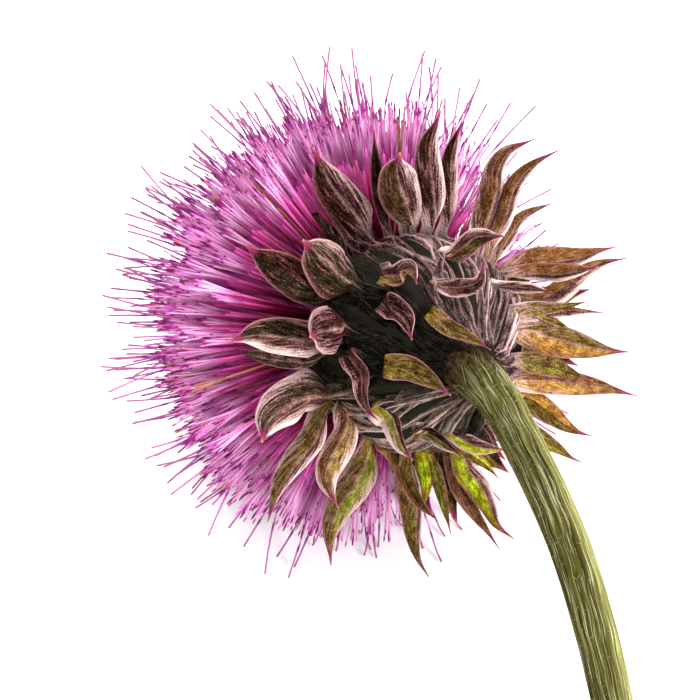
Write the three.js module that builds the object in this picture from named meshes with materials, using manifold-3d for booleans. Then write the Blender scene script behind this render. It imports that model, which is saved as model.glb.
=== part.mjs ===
// A thistle flower head that lies on its florets, with a cut length of its stem.
// Millimetres, +Z up. The origin is on the surface, under the middle of the ball of florets.
import * as THREE from 'three';
import { mergeVertices } from 'three/addons/utils/BufferGeometryUtils.js';
import Module from 'manifold-3d';

const wasm = await Module();
wasm.setup();

// Driving sizes of the flower head
const BALL_HEIGHT = 24.5; // the ball's centre above the surface, with the florets pressed under it
const COROLLA_RADIUS = 27.6; // the tips of the corollas' lobes, from the ball's centre
const LOBE_LENGTH = 2.8;
const CORE_TOP_SHARE = 0.45; // florets nearer the axis than this cosine stand on the core's dome
const CORE_TOP_REACH = 10; // and are this long
const STYLE_RADIUS_MIN = 30.5; // the shortest styles end here
const STYLE_RADIUS_MAX = 35.2; // and the longest here
const FLORET_COUNT = 236;
const FLORET_POLAR_MAX = 89; // degrees from the head's axis to the outermost florets
const FAN_RADIUS = 8; // the florets spread from a disc this wide in the bowl's mouth
const FAN_PLACE = -2.5;
const COROLLA_HALF_WIDTH = 1.35;
const TUBE_HALF_WIDTH = 0.85;
const STYLE_HALF_WIDTH = 0.42;
const PRESSED_TUFT_RADIUS = 4.5;
const TUFT_HEIGHT = 14;
const NODE_GAP = 0.3;
const WELD = 0.001; // corners nearer than this are one

// Driving sizes of the involucre: the bowl's outline as distance from the axis, place on the axis
const BOWL_OUTLINE = [[3, -23.5], [9.2, -19.3], [12.3, -14], [12.8, -8.5], [10.9, -3.6]];
const BOWL_RIBS = 14; // the feet of the bracts, that run down the bowl side by side
const BOWL_RIB_HEIGHT = 0.45;
const FLORET_SEAT = [[0, -9], [8.6, -8.4], [10.1, -3.6], [16, -2.9], [22, -2.2], [38, -1]];
const SEAT_SIDES = 18;
// The packed lower parts of the florets, as distance from the axis and place on it
const CORE_OUTLINE = [
  [0, -8.7], [8.3, -8.2], [9.7, -3.6], [13, 1.5], [17.5, 8], [17, 13.5], [12, 18.5], [0, 21.5],
];
const CORE_SIDES = 16;
const BRACT_THICKNESS = 0.9;
const BRACT_FULLNESS = 1.12; // each half's real width, as a share of the wider one that shows
const BRACT_FOOT_LIFT = 0.45; // how far a bract's foot stands off the bowl
const BRACT_FOOT_DEPTH = 1.6; // how far a bract's heel is sunk into the bowl
const CLAW_HALF_WIDTH = 1.4;
const BRACT_PLACES = [0, 0.3, 0.6, 0.82, 1]; // where along the limb its widths lie
const LEAF_WIDTHS = [0.7, 1, 0.82, 0.34, 0]; // as shares of the widest
const BLUNT_WIDTHS = [0.9, 0.98, 0.68, 0.28, 0];
const SPINE_HALF_WIDTH = 0.32;
const BEND_OUTWARD = 0.34; // where a limb bends, away from its foot, as a share of its length
const BEND_FORWARD = 0.25; // how far that direction leans towards the florets
const BEND_PULL = 0.12; // how far the bend is drawn to the tip
const LEAST_SLANT = 0.5; // the sharpest fold whose wall keeps its full thickness

// Driving sizes of the stem
const STEM_RADIUS = 2.5;
const NECK_RADIUS = 2.85;
const STEM_RIBS = 9;
const RIB_DEPTH = 0.16;
const STEM_STEPS = 24;
const STEM_TOP_SHARE = 0.005; // the stem's top face, short of the socket's floor
const SOCKET_SHARE = 0.25; // the first part of the stem, that bracts lie near

// The photograph's view: where each bract and the stem are seen, in its pixels
const CAMERA_ELEVATION = THREE.MathUtils.degToRad(55);
const CAMERA_DISTANCE = 486;
const PIXEL_SIZE = 0.125; // at the ball's centre
const PICTURE_MIDDLE = 350;
const BALL_CENTRE_PIXEL = [368, 320];
const HEAD_TURN = THREE.MathUtils.degToRad(38); // between the line of sight and the head's axis
const HEAD_LEAN = new THREE.Vector2(-0.905, 0.425).normalize(); // the axis as the picture shows it

const RIGHT = new THREE.Vector3(1, 0, 0);
const UP = new THREE.Vector3(0, Math.sin(CAMERA_ELEVATION), Math.cos(CAMERA_ELEVATION));
const TOWARDS = new THREE.Vector3(0, -Math.cos(CAMERA_ELEVATION), Math.sin(CAMERA_ELEVATION));
const BALL_CENTRE = new THREE.Vector3(0, 0, BALL_HEIGHT);

const leanInSpace = RIGHT.clone().multiplyScalar(HEAD_LEAN.x).addScaledVector(UP, HEAD_LEAN.y);
const AXIS = leanInSpace.clone().multiplyScalar(Math.sin(HEAD_TURN))
  .addScaledVector(TOWARDS, -Math.cos(HEAD_TURN));
const SIDE = leanInSpace.clone().multiplyScalar(Math.cos(HEAD_TURN))
  .addScaledVector(TOWARDS, Math.sin(HEAD_TURN));
const CROSS = AXIS.clone().cross(SIDE);
const EYE = BALL_CENTRE.clone()
  .addScaledVector(RIGHT, (PICTURE_MIDDLE - BALL_CENTRE_PIXEL[0]) * PIXEL_SIZE)
  .addScaledVector(UP, (BALL_CENTRE_PIXEL[1] - PICTURE_MIDDLE) * PIXEL_SIZE)
  .addScaledVector(TOWARDS, CAMERA_DISTANCE);

// A fixed draw between 0 and 1 for item i of series k
function draw(i, k) {
  const wave = Math.sin(i * 12.9898 + k * 78.233) * 43758.5453;
  return wave - Math.floor(wave);
}

// The direction from the eye through a pixel
function sightLine([across, down]) {
  const pixelsAway = CAMERA_DISTANCE / PIXEL_SIZE;
  return TOWARDS.clone().negate()
    .addScaledVector(RIGHT, (across - PICTURE_MIDDLE) / pixelsAway)
    .addScaledVector(UP, (PICTURE_MIDDLE - down) / pixelsAway)
    .normalize();
}

// The point seen at a pixel, a given distance nearer the eye than the ball's centre
function pointSeen(pixel, nearer) {
  const line = sightLine(pixel);
  const reach = (CAMERA_DISTANCE - nearer) / -line.dot(TOWARDS);
  return EYE.clone().addScaledVector(line, reach);
}

// The outward direction across the head's axis at an angle in radians
function outward(angle) {
  return SIDE.clone().multiplyScalar(Math.cos(angle)).addScaledVector(CROSS, Math.sin(angle));
}

// A point from its distance off the axis, its place on the axis and its angle
function headPoint(radius, place, angle) {
  return BALL_CENTRE.clone().addScaledVector(AXIS, place).addScaledVector(outward(angle), radius);
}

function headPlace(point) {
  const away = point.clone().sub(BALL_CENTRE);
  const side = away.dot(SIDE);
  const cross = away.dot(CROSS);
  return { radius: Math.hypot(side, cross), place: away.dot(AXIS), angle: Math.atan2(cross, side) };
}

// The bowl's radius at a place on the axis
function bowlRadius(place) {
  const last = BOWL_OUTLINE.length - 1;
  const clamped = Math.min(Math.max(place, BOWL_OUTLINE[0][1]), BOWL_OUTLINE[last][1]);
  const step = BOWL_OUTLINE.findIndex(([, next], i) => i > 0 && clamped <= next);
  const [lowRadius, low] = BOWL_OUTLINE[step - 1];
  const [highRadius, high] = BOWL_OUTLINE[step];
  return lowRadius + (highRadius - lowRadius) * (clamped - low) / (high - low);
}

// A closed mesh as a solid, and back
function solid(geometry) {
  const bare = new THREE.BufferGeometry();
  bare.setAttribute('position', geometry.getAttribute('position'));
  if (geometry.index) bare.setIndex(geometry.index);
  const merged = mergeVertices(bare, WELD);
  const vertProperties = new Float32Array(merged.getAttribute('position').array);
  const triVerts = new Uint32Array(merged.index.array);
  return new wasm.Manifold(new wasm.Mesh({ numProp: 3, vertProperties, triVerts }));
}

function geometryOf(shape) {
  const mesh = shape.getMesh();
  const geometry = new THREE.BufferGeometry();
  geometry.setAttribute('position', new THREE.BufferAttribute(new Float32Array(mesh.vertProperties), 3));
  geometry.setIndex(new THREE.BufferAttribute(new Uint32Array(mesh.triVerts), 1));
  return geometry;
}

// The outer skin of a shape, without the pockets that crossing blades seal in between them
function outerSkin(shape) {
  const bodies = shape.decompose();
  return geometryOf(bodies.reduce((best, body) => (body.volume() > best.volume() ? body : best)));
}

// A closed solid through rings of points, each ring with the same number, closed flat at both ends.
// Rings that wind the other way are taken from the far end, so that the faces point out.
function loft(rings) {
  const count = rings[0].length;
  const positions = rings.flat().flatMap((point) => point.toArray());
  const triangles = [];
  for (let ring = 0; ring + 1 < rings.length; ring += 1) {
    for (let corner = 0; corner < count; corner += 1) {
      const here = ring * count + corner;
      const beside = ring * count + (corner + 1) % count;
      triangles.push(here, beside, beside + count, here, beside + count, here + count);
    }
  }
  const top = (rings.length - 1) * count;
  for (let corner = 1; corner + 1 < count; corner += 1) {
    triangles.push(0, corner + 1, corner);
    triangles.push(top, top + corner, top + corner + 1);
  }
  const geometry = new THREE.BufferGeometry();
  geometry.setAttribute('position', new THREE.Float32BufferAttribute(positions, 3));
  geometry.setIndex(triangles);
  const shape = solid(geometry);
  return shape.volume() < 0 ? loft([...rings].reverse()) : shape;
}

// A body turned about the head's axis, from an outline of radius and place that starts and ends on it
function turned(outline, sides) {
  const points = outline.map(([radius, place]) => new THREE.Vector2(radius, place));
  const geometry = new THREE.LatheGeometry(points, sides);
  const basis = new THREE.Matrix4().makeBasis(SIDE, AXIS, CROSS.clone().negate());
  return solid(geometry.applyMatrix4(basis.setPosition(BALL_CENTRE)));
}

// The surface that the head lies on, as a block that everything is cut at
function surfaceBlock() {
  const size = 300;
  return solid(new THREE.BoxGeometry(size, size, size).translate(0, 0, -size / 2));
}

// The space that belongs to the florets, grown by a gap for what lies behind it
function floretSpace(gap) {
  const seat = FLORET_SEAT.map(([radius, place]) => [radius, place - gap]);
  seat[1][0] += gap;
  seat[2][0] += gap;
  const farPlace = 45;
  const farRadius = 44;
  return turned([...seat, [farRadius, farPlace], [0, farPlace]], SEAT_SIDES);
}

// One corolla and its style: three-sided rings along a line that leaves the core
function floret(index) {
  const share = (index + 0.5) / FLORET_COUNT;
  const widest = 1 - Math.cos(THREE.MathUtils.degToRad(FLORET_POLAR_MAX));
  const polar = Math.acos(1 - share * widest);
  const angle = index * Math.PI * (3 - Math.sqrt(5));
  const root = headPoint(FAN_RADIUS * Math.sin(polar), FAN_PLACE, angle);
  const reach = COROLLA_RADIUS - 1.2 * draw(index, 1);
  const tip = headPoint(reach * Math.sin(polar), reach * Math.cos(polar), angle);
  const along = tip.clone().sub(root).normalize();
  const across = along.clone().cross(outward(angle + 0.7)).normalize();
  const beside = along.clone().cross(across);
  const styleReach = STYLE_RADIUS_MIN + (STYLE_RADIUS_MAX - STYLE_RADIUS_MIN) * Math.sqrt(draw(index, 3));
  const inCore = Math.cos(polar) > CORE_TOP_SHARE ? CORE_TOP_REACH : root.distanceTo(tip);
  const stations = [
    [-inCore, TUBE_HALF_WIDTH],
    [-LOBE_LENGTH, COROLLA_HALF_WIDTH],
    [0, STYLE_HALF_WIDTH],
    [styleReach - COROLLA_RADIUS, STYLE_HALF_WIDTH * 0.8],
  ];
  const spin = 2 * Math.PI * draw(index, 4);
  return loft(stations.map(([away, radius]) => [0, 1, 2].map((corner) => {
    const turn = spin + corner * 2 * Math.PI / 3;
    return tip.clone().addScaledVector(along, away)
      .addScaledVector(across, radius * Math.cos(turn))
      .addScaledVector(beside, radius * Math.sin(turn));
  })));
}

// The florets pressed flat under the head, down to the spot that it rests on
function pressedTuft() {
  const shoulder = [PRESSED_TUFT_RADIUS * 1.6, TUFT_HEIGHT * 0.8];
  const outline = [[0, 0], [PRESSED_TUFT_RADIUS, 0], shoulder, [0, TUFT_HEIGHT]];
  const points = outline.map(([radius, height]) => new THREE.Vector2(radius, height));
  return solid(new THREE.LatheGeometry(points, 12).rotateX(Math.PI / 2));
}

// One ring of a blade: its margins to either side and behind the keel, and the keel's outer and inner edge
function bladeRing(middle, along, across, [left, right]) {
  const normal = across.clone().cross(along);
  const towards = [
    across.clone().multiplyScalar(-left.wide).addScaledVector(normal, -left.deep),
    across.clone().multiplyScalar(right.wide).addScaledVector(normal, -right.deep),
  ];
  const fold = towards[0].clone().normalize().add(towards[1].clone().normalize()).normalize();
  const slant = Math.sqrt(1 - fold.dot(towards[1].clone().normalize()) ** 2);
  const half = BRACT_THICKNESS / 2 / Math.max(slant, LEAST_SLANT);
  return [
    middle.clone().add(towards[0]),
    middle.clone().addScaledVector(fold, half),
    middle.clone().add(towards[1]),
    middle.clone().addScaledVector(fold, -half),
  ];
}

// One ring of a spine, which is as deep as it is wide
function spineRing(middle, along, across) {
  const normal = across.clone().cross(along);
  return [[-1, 0], [0, -1], [1, 0], [0, 1]].map(([wide, deep]) => middle.clone()
    .addScaledVector(across, wide * SPINE_HALF_WIDTH)
    .addScaledVector(normal, deep * SPINE_HALF_WIDTH));
}

// One bract: a heel in the bowl, and a limb folded along its keel that ends in a spine. `keel` is the limb's
// line from the foot, and `halves` is how much of each half shows from where facing(point) points, in
// millimetres.
function bract({ keel, halves, widths, facing }) {
  const { angle, place } = headPlace(keel[0]);
  const limb = new THREE.CatmullRomCurve3(keel);
  const clasping = limb.getTangentAt(0).cross(outward(angle)).normalize();
  const seenAcross = (share) => limb.getTangentAt(share).cross(facing(limb.getPointAt(share))).normalize();
  const side = clasping.dot(seenAcross(BRACT_PLACES[1])) < 0 ? -1 : 1;
  const shown = side < 0 ? [...halves].reverse() : halves;
  const real = BRACT_FULLNESS * Math.max(...shown);

  const heel = headPoint(bowlRadius(place) - BRACT_FOOT_DEPTH, place - BRACT_FOOT_DEPTH, angle);
  const upwards = keel[0].clone().sub(heel).normalize();
  const edge = { wide: CLAW_HALF_WIDTH, deep: CLAW_HALF_WIDTH / 2 };
  const blade = BRACT_PLACES.map((share, i) => {
    const along = limb.getTangentAt(share);
    const turned = i === 0 ? clasping.clone() : seenAcross(share).multiplyScalar(side);
    const across = turned.addScaledVector(along, -turned.dot(along)).normalize();
    const middle = limb.getPointAt(share);
    if (widths[i] * real < 2 * SPINE_HALF_WIDTH) return spineRing(middle, along, across);
    const deep = (wide) => Math.sqrt(real ** 2 - wide ** 2);
    const edges = shown.map((wide) => ({ wide: wide * widths[i], deep: deep(wide) * widths[i] }));
    return bladeRing(middle, along, across, edges);
  });
  return loft([bladeRing(heel, upwards, clasping, [edge, edge]), ...blade]);
}

// A foot on the bowl where a sight line first meets it, or passes nearest
function footSeen(pixel) {
  const line = sightLine(pixel);
  let best = null;
  for (let reach = CAMERA_DISTANCE - 40; reach < CAMERA_DISTANCE + 30; reach += 0.1) {
    const point = EYE.clone().addScaledVector(line, reach);
    const { radius, place, angle } = headPlace(point);
    if (place < BOWL_OUTLINE[0][1] || place > BOWL_OUTLINE.at(-1)[1]) continue;
    const gap = radius - bowlRadius(place);
    if (best === null || gap < best.gap - 1e-6) best = { gap, place, angle };
    if (gap <= 0) break;
  }
  return headPoint(bowlRadius(best.place) + BRACT_FOOT_LIFT, best.place, best.angle);
}

// The point on a sight line at a given distance from the foot, on the nearer or the farther side
function tipSeen(foot, pixel, reach, nearer) {
  const line = sightLine(pixel);
  const toFoot = foot.clone().sub(EYE);
  const nearest = toFoot.dot(line);
  const spare = reach * reach - (toFoot.lengthSq() - nearest * nearest);
  const shift = spare > 0 ? Math.sqrt(spare) : 0;
  return EYE.clone().addScaledVector(line, nearest - (nearer ? shift : -shift));
}

// How much nearer the eye a point is than the ball's centre
function depthOf(point) {
  return point.clone().sub(BALL_CENTRE).dot(TOWARDS);
}

// A keel in space. Its points lie on their pixels' sight lines, at depths that follow a quadratic from the
// foot's over that of a bend which stands off the bowl to the tip's.
function keelSeen({ keel, reach, nearer = true }) {
  const foot = footSeen(keel[0]);
  const tip = tipSeen(foot, keel.at(-1), reach, nearer);
  const away = outward(headPlace(foot).angle).addScaledVector(AXIS, BEND_FORWARD).normalize();
  const bend = foot.clone().addScaledVector(away, reach * BEND_OUTWARD).lerp(tip, BEND_PULL);
  const [first, middle, last] = [foot, bend, tip].map(depthOf);
  const steps = keel.slice(1).map(([across, down], i) => Math.hypot(across - keel[i][0], down - keel[i][1]));
  const whole = steps.reduce((sum, step) => sum + step, 0);
  let gone = 0;
  const limb = keel.slice(1).map((pixel, i) => {
    gone += steps[i];
    const t = gone / whole;
    return pointSeen(pixel, (1 - t) ** 2 * first + 2 * t * (1 - t) * middle + t ** 2 * last);
  });
  return [foot, ...limb];
}

// A bract that the photograph shows
function bractSeen(spec) {
  return bract({
    keel: keelSeen(spec),
    halves: spec.sides.map((pixels) => pixels * PIXEL_SIZE),
    widths: spec.blunt ? BLUNT_WIDTHS : LEAF_WIDTHS,
    facing: (point) => EYE.clone().sub(point).normalize(),
  });
}

// The bracts that show, clockwise from the upper left, then those in front of the dark bowl. `keel` holds
// the pixels of the keel from foot to tip, `reach` the limb's length in millimetres, and `sides` how many
// pixels of each half show, left and right as one looks from foot to tip.
const BRACTS_SEEN = [
  { keel: [[374, 246], [360, 222], [345, 203], [330, 183], [313, 148]], reach: 16, sides: [21, 19] },
  { keel: [[392, 240], [381, 205], [377, 175], [375, 150], [374, 127]], reach: 15, sides: [7, 7] },
  { keel: [[412, 238], [413, 222], [407, 205], [401, 188], [397, 170], [400, 153]],
    reach: 13.5, sides: [24, 20] },
  { keel: [[428, 240], [434, 222], [435, 205], [433, 185], [430, 160], [431, 140], [441, 111]],
    reach: 17, sides: [18, 12] },
  { keel: [[444, 238], [450, 218], [451, 195], [451, 170], [453, 150], [463, 118]],
    reach: 16, sides: [12, 7] },
  { keel: [[486, 236], [491, 212], [497, 190], [499, 170], [510, 152], [535, 139]],
    reach: 16, sides: [19, 7] },
  { keel: [[500, 240], [507, 213], [513, 192], [522, 177], [538, 162], [561, 149]],
    reach: 16, sides: [13, 8], nearer: false },
  { keel: [[503, 252], [511, 235], [519, 222], [532, 212], [555, 202]],
    reach: 12, sides: [9, 6], nearer: false },
  { keel: [[434, 254], [450, 256], [463, 247], [478, 237], [505, 236]], reach: 11, sides: [10, 12] },
  { keel: [[430, 289], [450, 287], [468, 286], [480, 279], [484, 259]], reach: 10, sides: [9, 10] },
  { keel: [[484, 284], [497, 285], [512, 287], [530, 288], [552, 292]], reach: 10.5, sides: [6, 6] },
  { keel: [[508, 272], [530, 265], [555, 262], [580, 258], [600, 251], [617, 247]],
    reach: 16, sides: [17, 10], nearer: false },
  { keel: [[509, 268], [535, 274], [555, 275], [575, 272], [598, 267]], reach: 13.5, sides: [12, 7] },
  { keel: [[508, 296], [530, 299], [550, 295], [568, 283], [585, 270], [603, 262], [628, 258]],
    reach: 17, sides: [10, 14], nearer: false },
  { keel: [[509, 312], [525, 307], [542, 307], [560, 307], [590, 301]],
    reach: 11.5, sides: [6, 7], nearer: false },
  { keel: [[509, 318], [535, 316], [565, 311], [585, 311], [607, 313]],
    reach: 14, sides: [5, 7], nearer: false },
  { keel: [[508, 322], [530, 315], [552, 325], [568, 334], [577, 341], [585, 351]],
    reach: 12, sides: [9, 6], nearer: false },
  { keel: [[508, 332], [530, 332], [555, 339], [580, 345], [605, 350], [629, 352]],
    reach: 17, sides: [16, 18], nearer: false },
  { keel: [[506, 360], [530, 362], [555, 368], [578, 376], [593, 381]],
    reach: 13, sides: [11, 11], nearer: false },
  { keel: [[505, 379], [530, 380], [555, 381], [580, 384], [605, 388], [638, 396]],
    reach: 18, sides: [13, 14], nearer: false },
  { keel: [[505, 395], [527, 398], [548, 412], [565, 425], [578, 432], [592, 436]],
    reach: 14, sides: [12, 12], nearer: false },
  { keel: [[500, 420], [525, 430], [545, 441], [560, 450], [572, 458], [583, 463]],
    reach: 14, sides: [10, 10], nearer: false },
  { keel: [[448, 428], [462, 440], [478, 447], [492, 449], [508, 450]],
    reach: 9.5, sides: [9, 9], nearer: false },
  { keel: [[450, 436], [460, 448], [473, 456], [487, 466], [499, 479]],
    reach: 10, sides: [6, 6], nearer: false },
  { keel: [[461, 452], [468, 468], [480, 485], [490, 505], [498, 525], [514, 539]],
    reach: 14.5, sides: [10, 16], nearer: false },
  { keel: [[450, 455], [457, 482], [466, 500], [478, 518], [488, 532], [500, 550]],
    reach: 15, sides: [8, 9], nearer: false },
  { keel: [[428, 450], [435, 468], [441, 490], [446, 512], [451, 535]],
    reach: 12, sides: [6, 7], nearer: false },
  { keel: [[448, 440], [452, 458], [454, 475], [456, 494]], reach: 9, sides: [7, 7], nearer: false },
  { keel: [[410, 448], [414, 480], [417, 512], [417, 540], [420, 560], [429, 577]],
    reach: 17, sides: [6, 18], nearer: false },
  { keel: [[420, 446], [424, 468], [426, 485], [424, 510]], reach: 9, sides: [8, 9], nearer: false },
  { keel: [[374, 440], [389, 452], [400, 468], [410, 490], [421, 506], [438, 521]],
    reach: 14, sides: [9, 7] },
  { keel: [[372, 436], [366, 464], [354, 486], [339, 508], [330, 535], [331, 565]],
    reach: 18, sides: [17, 18], nearer: false },
  { keel: [[345, 402], [347, 424], [338, 445], [328, 464], [326, 482], [338, 508]],
    reach: 14.5, sides: [17, 12] },
  { keel: [[332, 404], [316, 440], [298, 463], [284, 482], [275, 500], [268, 522]],
    reach: 18, sides: [9, 18], nearer: false },
  { keel: [[334, 392], [315, 398], [298, 403], [280, 412], [268, 424], [262, 442]],
    reach: 13, sides: [15, 27], blunt: true },
  { keel: [[330, 394], [300, 408], [262, 418], [240, 424], [222, 438]],
    reach: 16.5, sides: [4, 6], nearer: false },
  { keel: [[330, 352], [312, 361], [290, 362], [262, 358], [233, 349]],
    reach: 13.5, sides: [7, 12], nearer: false },
  { keel: [[334, 342], [312, 341], [285, 338], [257, 335], [228, 341]], reach: 14.5, sides: [17, 20] },
  { keel: [[334, 298], [308, 288], [283, 272], [262, 258], [244, 244]], reach: 14, sides: [18, 20] },
  { keel: [[345, 262], [333, 240], [320, 222], [305, 205]], reach: 10, sides: [10, 10], nearer: false },
  { keel: [[358, 288], [346, 280], [326, 262], [303, 240]], reach: 11, sides: [27, 21], blunt: true },
  { keel: [[352, 328], [340, 329], [324, 331], [310, 337]], reach: 9, sides: [23, 24], blunt: true },
  { keel: [[386, 285], [397, 276], [408, 269], [413, 274], [417, 284]],
    reach: 7, sides: [13, 9], blunt: true },
  { keel: [[388, 309], [396, 313], [405, 322], [412, 340]], reach: 7.5, sides: [15, 11], blunt: true },
  { keel: [[434, 320], [448, 327], [463, 334], [478, 342], [491, 350]],
    reach: 8.5, sides: [9, 9], blunt: true },
  { keel: [[357, 352], [361, 374], [362, 394], [368, 410], [379, 421]],
    reach: 9.5, sides: [8, 11], blunt: true },
  { keel: [[393, 365], [407, 368], [422, 375], [436, 384], [451, 396]],
    reach: 9, sides: [13, 13], blunt: true },
  { keel: [[382, 399], [391, 415], [397, 431], [403, 447], [413, 460]],
    reach: 10, sides: [4, 12], blunt: true },
  { keel: [[414, 427], [428, 433], [441, 441], [452, 449], [462, 456]],
    reach: 8.5, sides: [6, 8], blunt: true },
];

// The innermost bracts: short, and laid against the florets all round the mouth
const INNER_COUNT = 18;
const INNER_HALF_WIDTH = 1.75;
const INNER_BEND = [14, -5.5]; // distance from the axis, place on it
function innerBract(index) {
  const angle = index * Math.PI * (3 - Math.sqrt(5));
  const place = -6 - 2.5 * draw(index, 5);
  const reach = 15.5 + 1.5 * draw(index, 6);
  const tip = headPoint(reach, -5 + draw(index, 7), angle + 0.25 * (draw(index, 8) - 0.5));
  return hiddenBract(place, angle, headPoint(...INNER_BEND, angle), tip, INNER_HALF_WIDTH);
}

// The bracts on the far side of the bowl, which the photograph hides behind the stem and the others
const FAR_SIDE_COUNT = 14;
const FAR_SIDE_FROM = THREE.MathUtils.degToRad(130);
const FAR_SIDE_TO = THREE.MathUtils.degToRad(248);
const FAR_SIDE_HALF_WIDTH = 2.1;
const FAR_SIDE_BEND_RADIUS = 17;
const FAR_SIDE_BEND_RISE = 1.5;
function farSideBract(index) {
  const angle = FAR_SIDE_FROM + (FAR_SIDE_TO - FAR_SIDE_FROM) * (index + 0.5) / FAR_SIDE_COUNT;
  const outer = index % 2 === 1;
  const place = (outer ? -13 : -9) + 1.5 * (draw(index, 9) - 0.5);
  const reach = (outer ? 22 : 23) + 2 * draw(index, 10);
  const tipPlace = (outer ? -14 : -9.5) + 2 * (draw(index, 11) - 0.5);
  const tip = headPoint(reach, tipPlace, angle + 0.2 * (draw(index, 12) - 0.5));
  const bend = headPoint(FAR_SIDE_BEND_RADIUS, place + FAR_SIDE_BEND_RISE, angle);
  return hiddenBract(place, angle, bend, tip, FAR_SIDE_HALF_WIDTH);
}

// A bract on a plain curve from its foot over a bend to its tip, with its fold the way the others have it
function hiddenBract(place, angle, bend, tip, halfWidth) {
  const foot = headPoint(bowlRadius(place) + BRACT_FOOT_LIFT, place, angle);
  return bract({
    keel: new THREE.QuadraticBezierCurve3(foot, bend, tip).getPoints(4),
    halves: [halfWidth, halfWidth],
    widths: LEAF_WIDTHS,
    facing: () => AXIS.clone().negate(),
  });
}

// The stem's middle line: pixels and the distance nearer the eye than the ball's centre
const STEM_LINE = [
  { pixel: [468, 368], nearer: 15.5 },
  { pixel: [481, 378], nearer: 19.2 },
  { pixel: [501, 402], nearer: 22.3 },
  { pixel: [521, 440], nearer: 23.6 },
  { pixel: [550, 500], nearer: 24 },
  { pixel: [575, 562], nearer: 23 },
  { pixel: [597, 636], nearer: 20.8 },
  { pixel: [613, 705], nearer: 18.2 },
  { pixel: [624, 758], nearer: 16.3 },
  { pixel: [636, 816], nearer: 13.8 },
];

// Rings round the stem's line from one share of it to another, each point set by radiusAt(share, turn)
function stemRings(from, to, steps, sides, radiusAt) {
  const line = new THREE.CatmullRomCurve3(STEM_LINE.map(({ pixel, nearer }) => pointSeen(pixel, nearer)));
  return Array.from({ length: steps + 1 }, (_, step) => {
    const share = from + (to - from) * step / steps;
    const middle = line.getPointAt(share);
    const along = line.getTangentAt(share);
    const across = RIGHT.clone().cross(along).normalize();
    const beside = along.clone().cross(across);
    return Array.from({ length: sides }, (_, corner) => {
      const turn = corner * 2 * Math.PI / sides;
      const radius = radiusAt(share, corner);
      return middle.clone()
        .addScaledVector(across, radius * Math.cos(turn))
        .addScaledVector(beside, radius * Math.sin(turn));
    });
  });
}

function stemRadius(share) {
  return STEM_RADIUS + (NECK_RADIUS - STEM_RADIUS) * Math.exp(-share * 9);
}

function peduncle() {
  const ribbed = (share, corner) => stemRadius(share) - (corner % 2) * RIB_DEPTH * 2;
  const rings = stemRings(STEM_TOP_SHARE, 1, STEM_STEPS, STEM_RIBS * 2, ribbed);
  return outerSkin(loft(rings).subtract(surfaceBlock()));
}

// The space that belongs to the stem, as far as the bracts reach along it
function stemSocket() {
  const roomy = (share) => stemRadius(share) + NODE_GAP * 1.2;
  return loft(stemRings(0, SOCKET_SHARE, 6, STEM_RIBS, roomy));
}

// The bowl, with a rib up its wall for each row of feet
function bowl() {
  const columns = Array.from({ length: 2 * BOWL_RIBS }, (_, column) => column);
  const wall = BOWL_OUTLINE.map(([radius, place]) => columns.map((column) => {
    const rib = column % 2 === 0 ? BOWL_RIB_HEIGHT / 2 : -BOWL_RIB_HEIGHT / 2;
    return headPoint(radius + rib, place, column * Math.PI / BOWL_RIBS);
  }));
  return loft(wall);
}

function involucre() {
  const inner = Array.from({ length: INNER_COUNT }, (_, i) => innerBract(i));
  const farSide = Array.from({ length: FAR_SIDE_COUNT }, (_, i) => farSideBract(i));
  const whole = wasm.Manifold.union([bowl(), ...BRACTS_SEEN.map(bractSeen), ...inner, ...farSide]);
  return outerSkin(whole.subtract(floretSpace(NODE_GAP)).subtract(stemSocket()).subtract(surfaceBlock()));
}

function florets() {
  const core = turned(CORE_OUTLINE, CORE_SIDES);
  const each = Array.from({ length: FLORET_COUNT }, (_, i) => floret(i));
  const whole = wasm.Manifold.union([core, ...each]).intersect(floretSpace(0));
  return outerSkin(wasm.Manifold.union([whole, pressedTuft()]).subtract(surfaceBlock()));
}

const COLOURS = {
  florets: new THREE.MeshStandardMaterial({ color: 0xc85fb4, roughness: 0.8, metalness: 0 }),
  involucre: new THREE.MeshStandardMaterial({ color: 0x4a4a2c, roughness: 0.7, metalness: 0 }),
  peduncle: new THREE.MeshStandardMaterial({ color: 0x7d8048, roughness: 0.75, metalness: 0 }),
};

const head = new THREE.Group();
const pieces = { peduncle: peduncle(), involucre: involucre(), florets: florets() };
for (const [name, geometry] of Object.entries(pieces)) {
  const mesh = new THREE.Mesh(geometry, COLOURS[name]);
  mesh.name = name;
  head.add(mesh);
}

export default head;
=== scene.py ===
# %% [markdown]
# A thistle's flower head, cut and laid on its florets. This lesson dresses the plain solids of the frame
# with the surfaces that the real head has. The whole file works in millimetres and turns them into
# Blender's metres only when a mesh is made.

# %% The frame and the tools
import math

import bpy
import numpy as np
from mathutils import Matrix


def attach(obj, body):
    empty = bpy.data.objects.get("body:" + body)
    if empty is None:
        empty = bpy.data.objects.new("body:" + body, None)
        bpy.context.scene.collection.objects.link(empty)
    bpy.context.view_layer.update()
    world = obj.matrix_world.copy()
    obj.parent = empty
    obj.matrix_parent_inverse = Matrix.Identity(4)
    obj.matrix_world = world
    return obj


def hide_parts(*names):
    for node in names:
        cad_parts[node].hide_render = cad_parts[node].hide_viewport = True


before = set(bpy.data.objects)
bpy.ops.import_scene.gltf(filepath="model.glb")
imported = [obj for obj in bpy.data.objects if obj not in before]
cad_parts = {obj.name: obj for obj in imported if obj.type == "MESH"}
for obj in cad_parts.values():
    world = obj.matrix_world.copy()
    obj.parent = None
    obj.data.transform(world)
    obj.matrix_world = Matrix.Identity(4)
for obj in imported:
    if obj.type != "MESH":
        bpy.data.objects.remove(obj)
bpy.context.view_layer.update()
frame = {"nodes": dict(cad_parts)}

MM = 0.001
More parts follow.
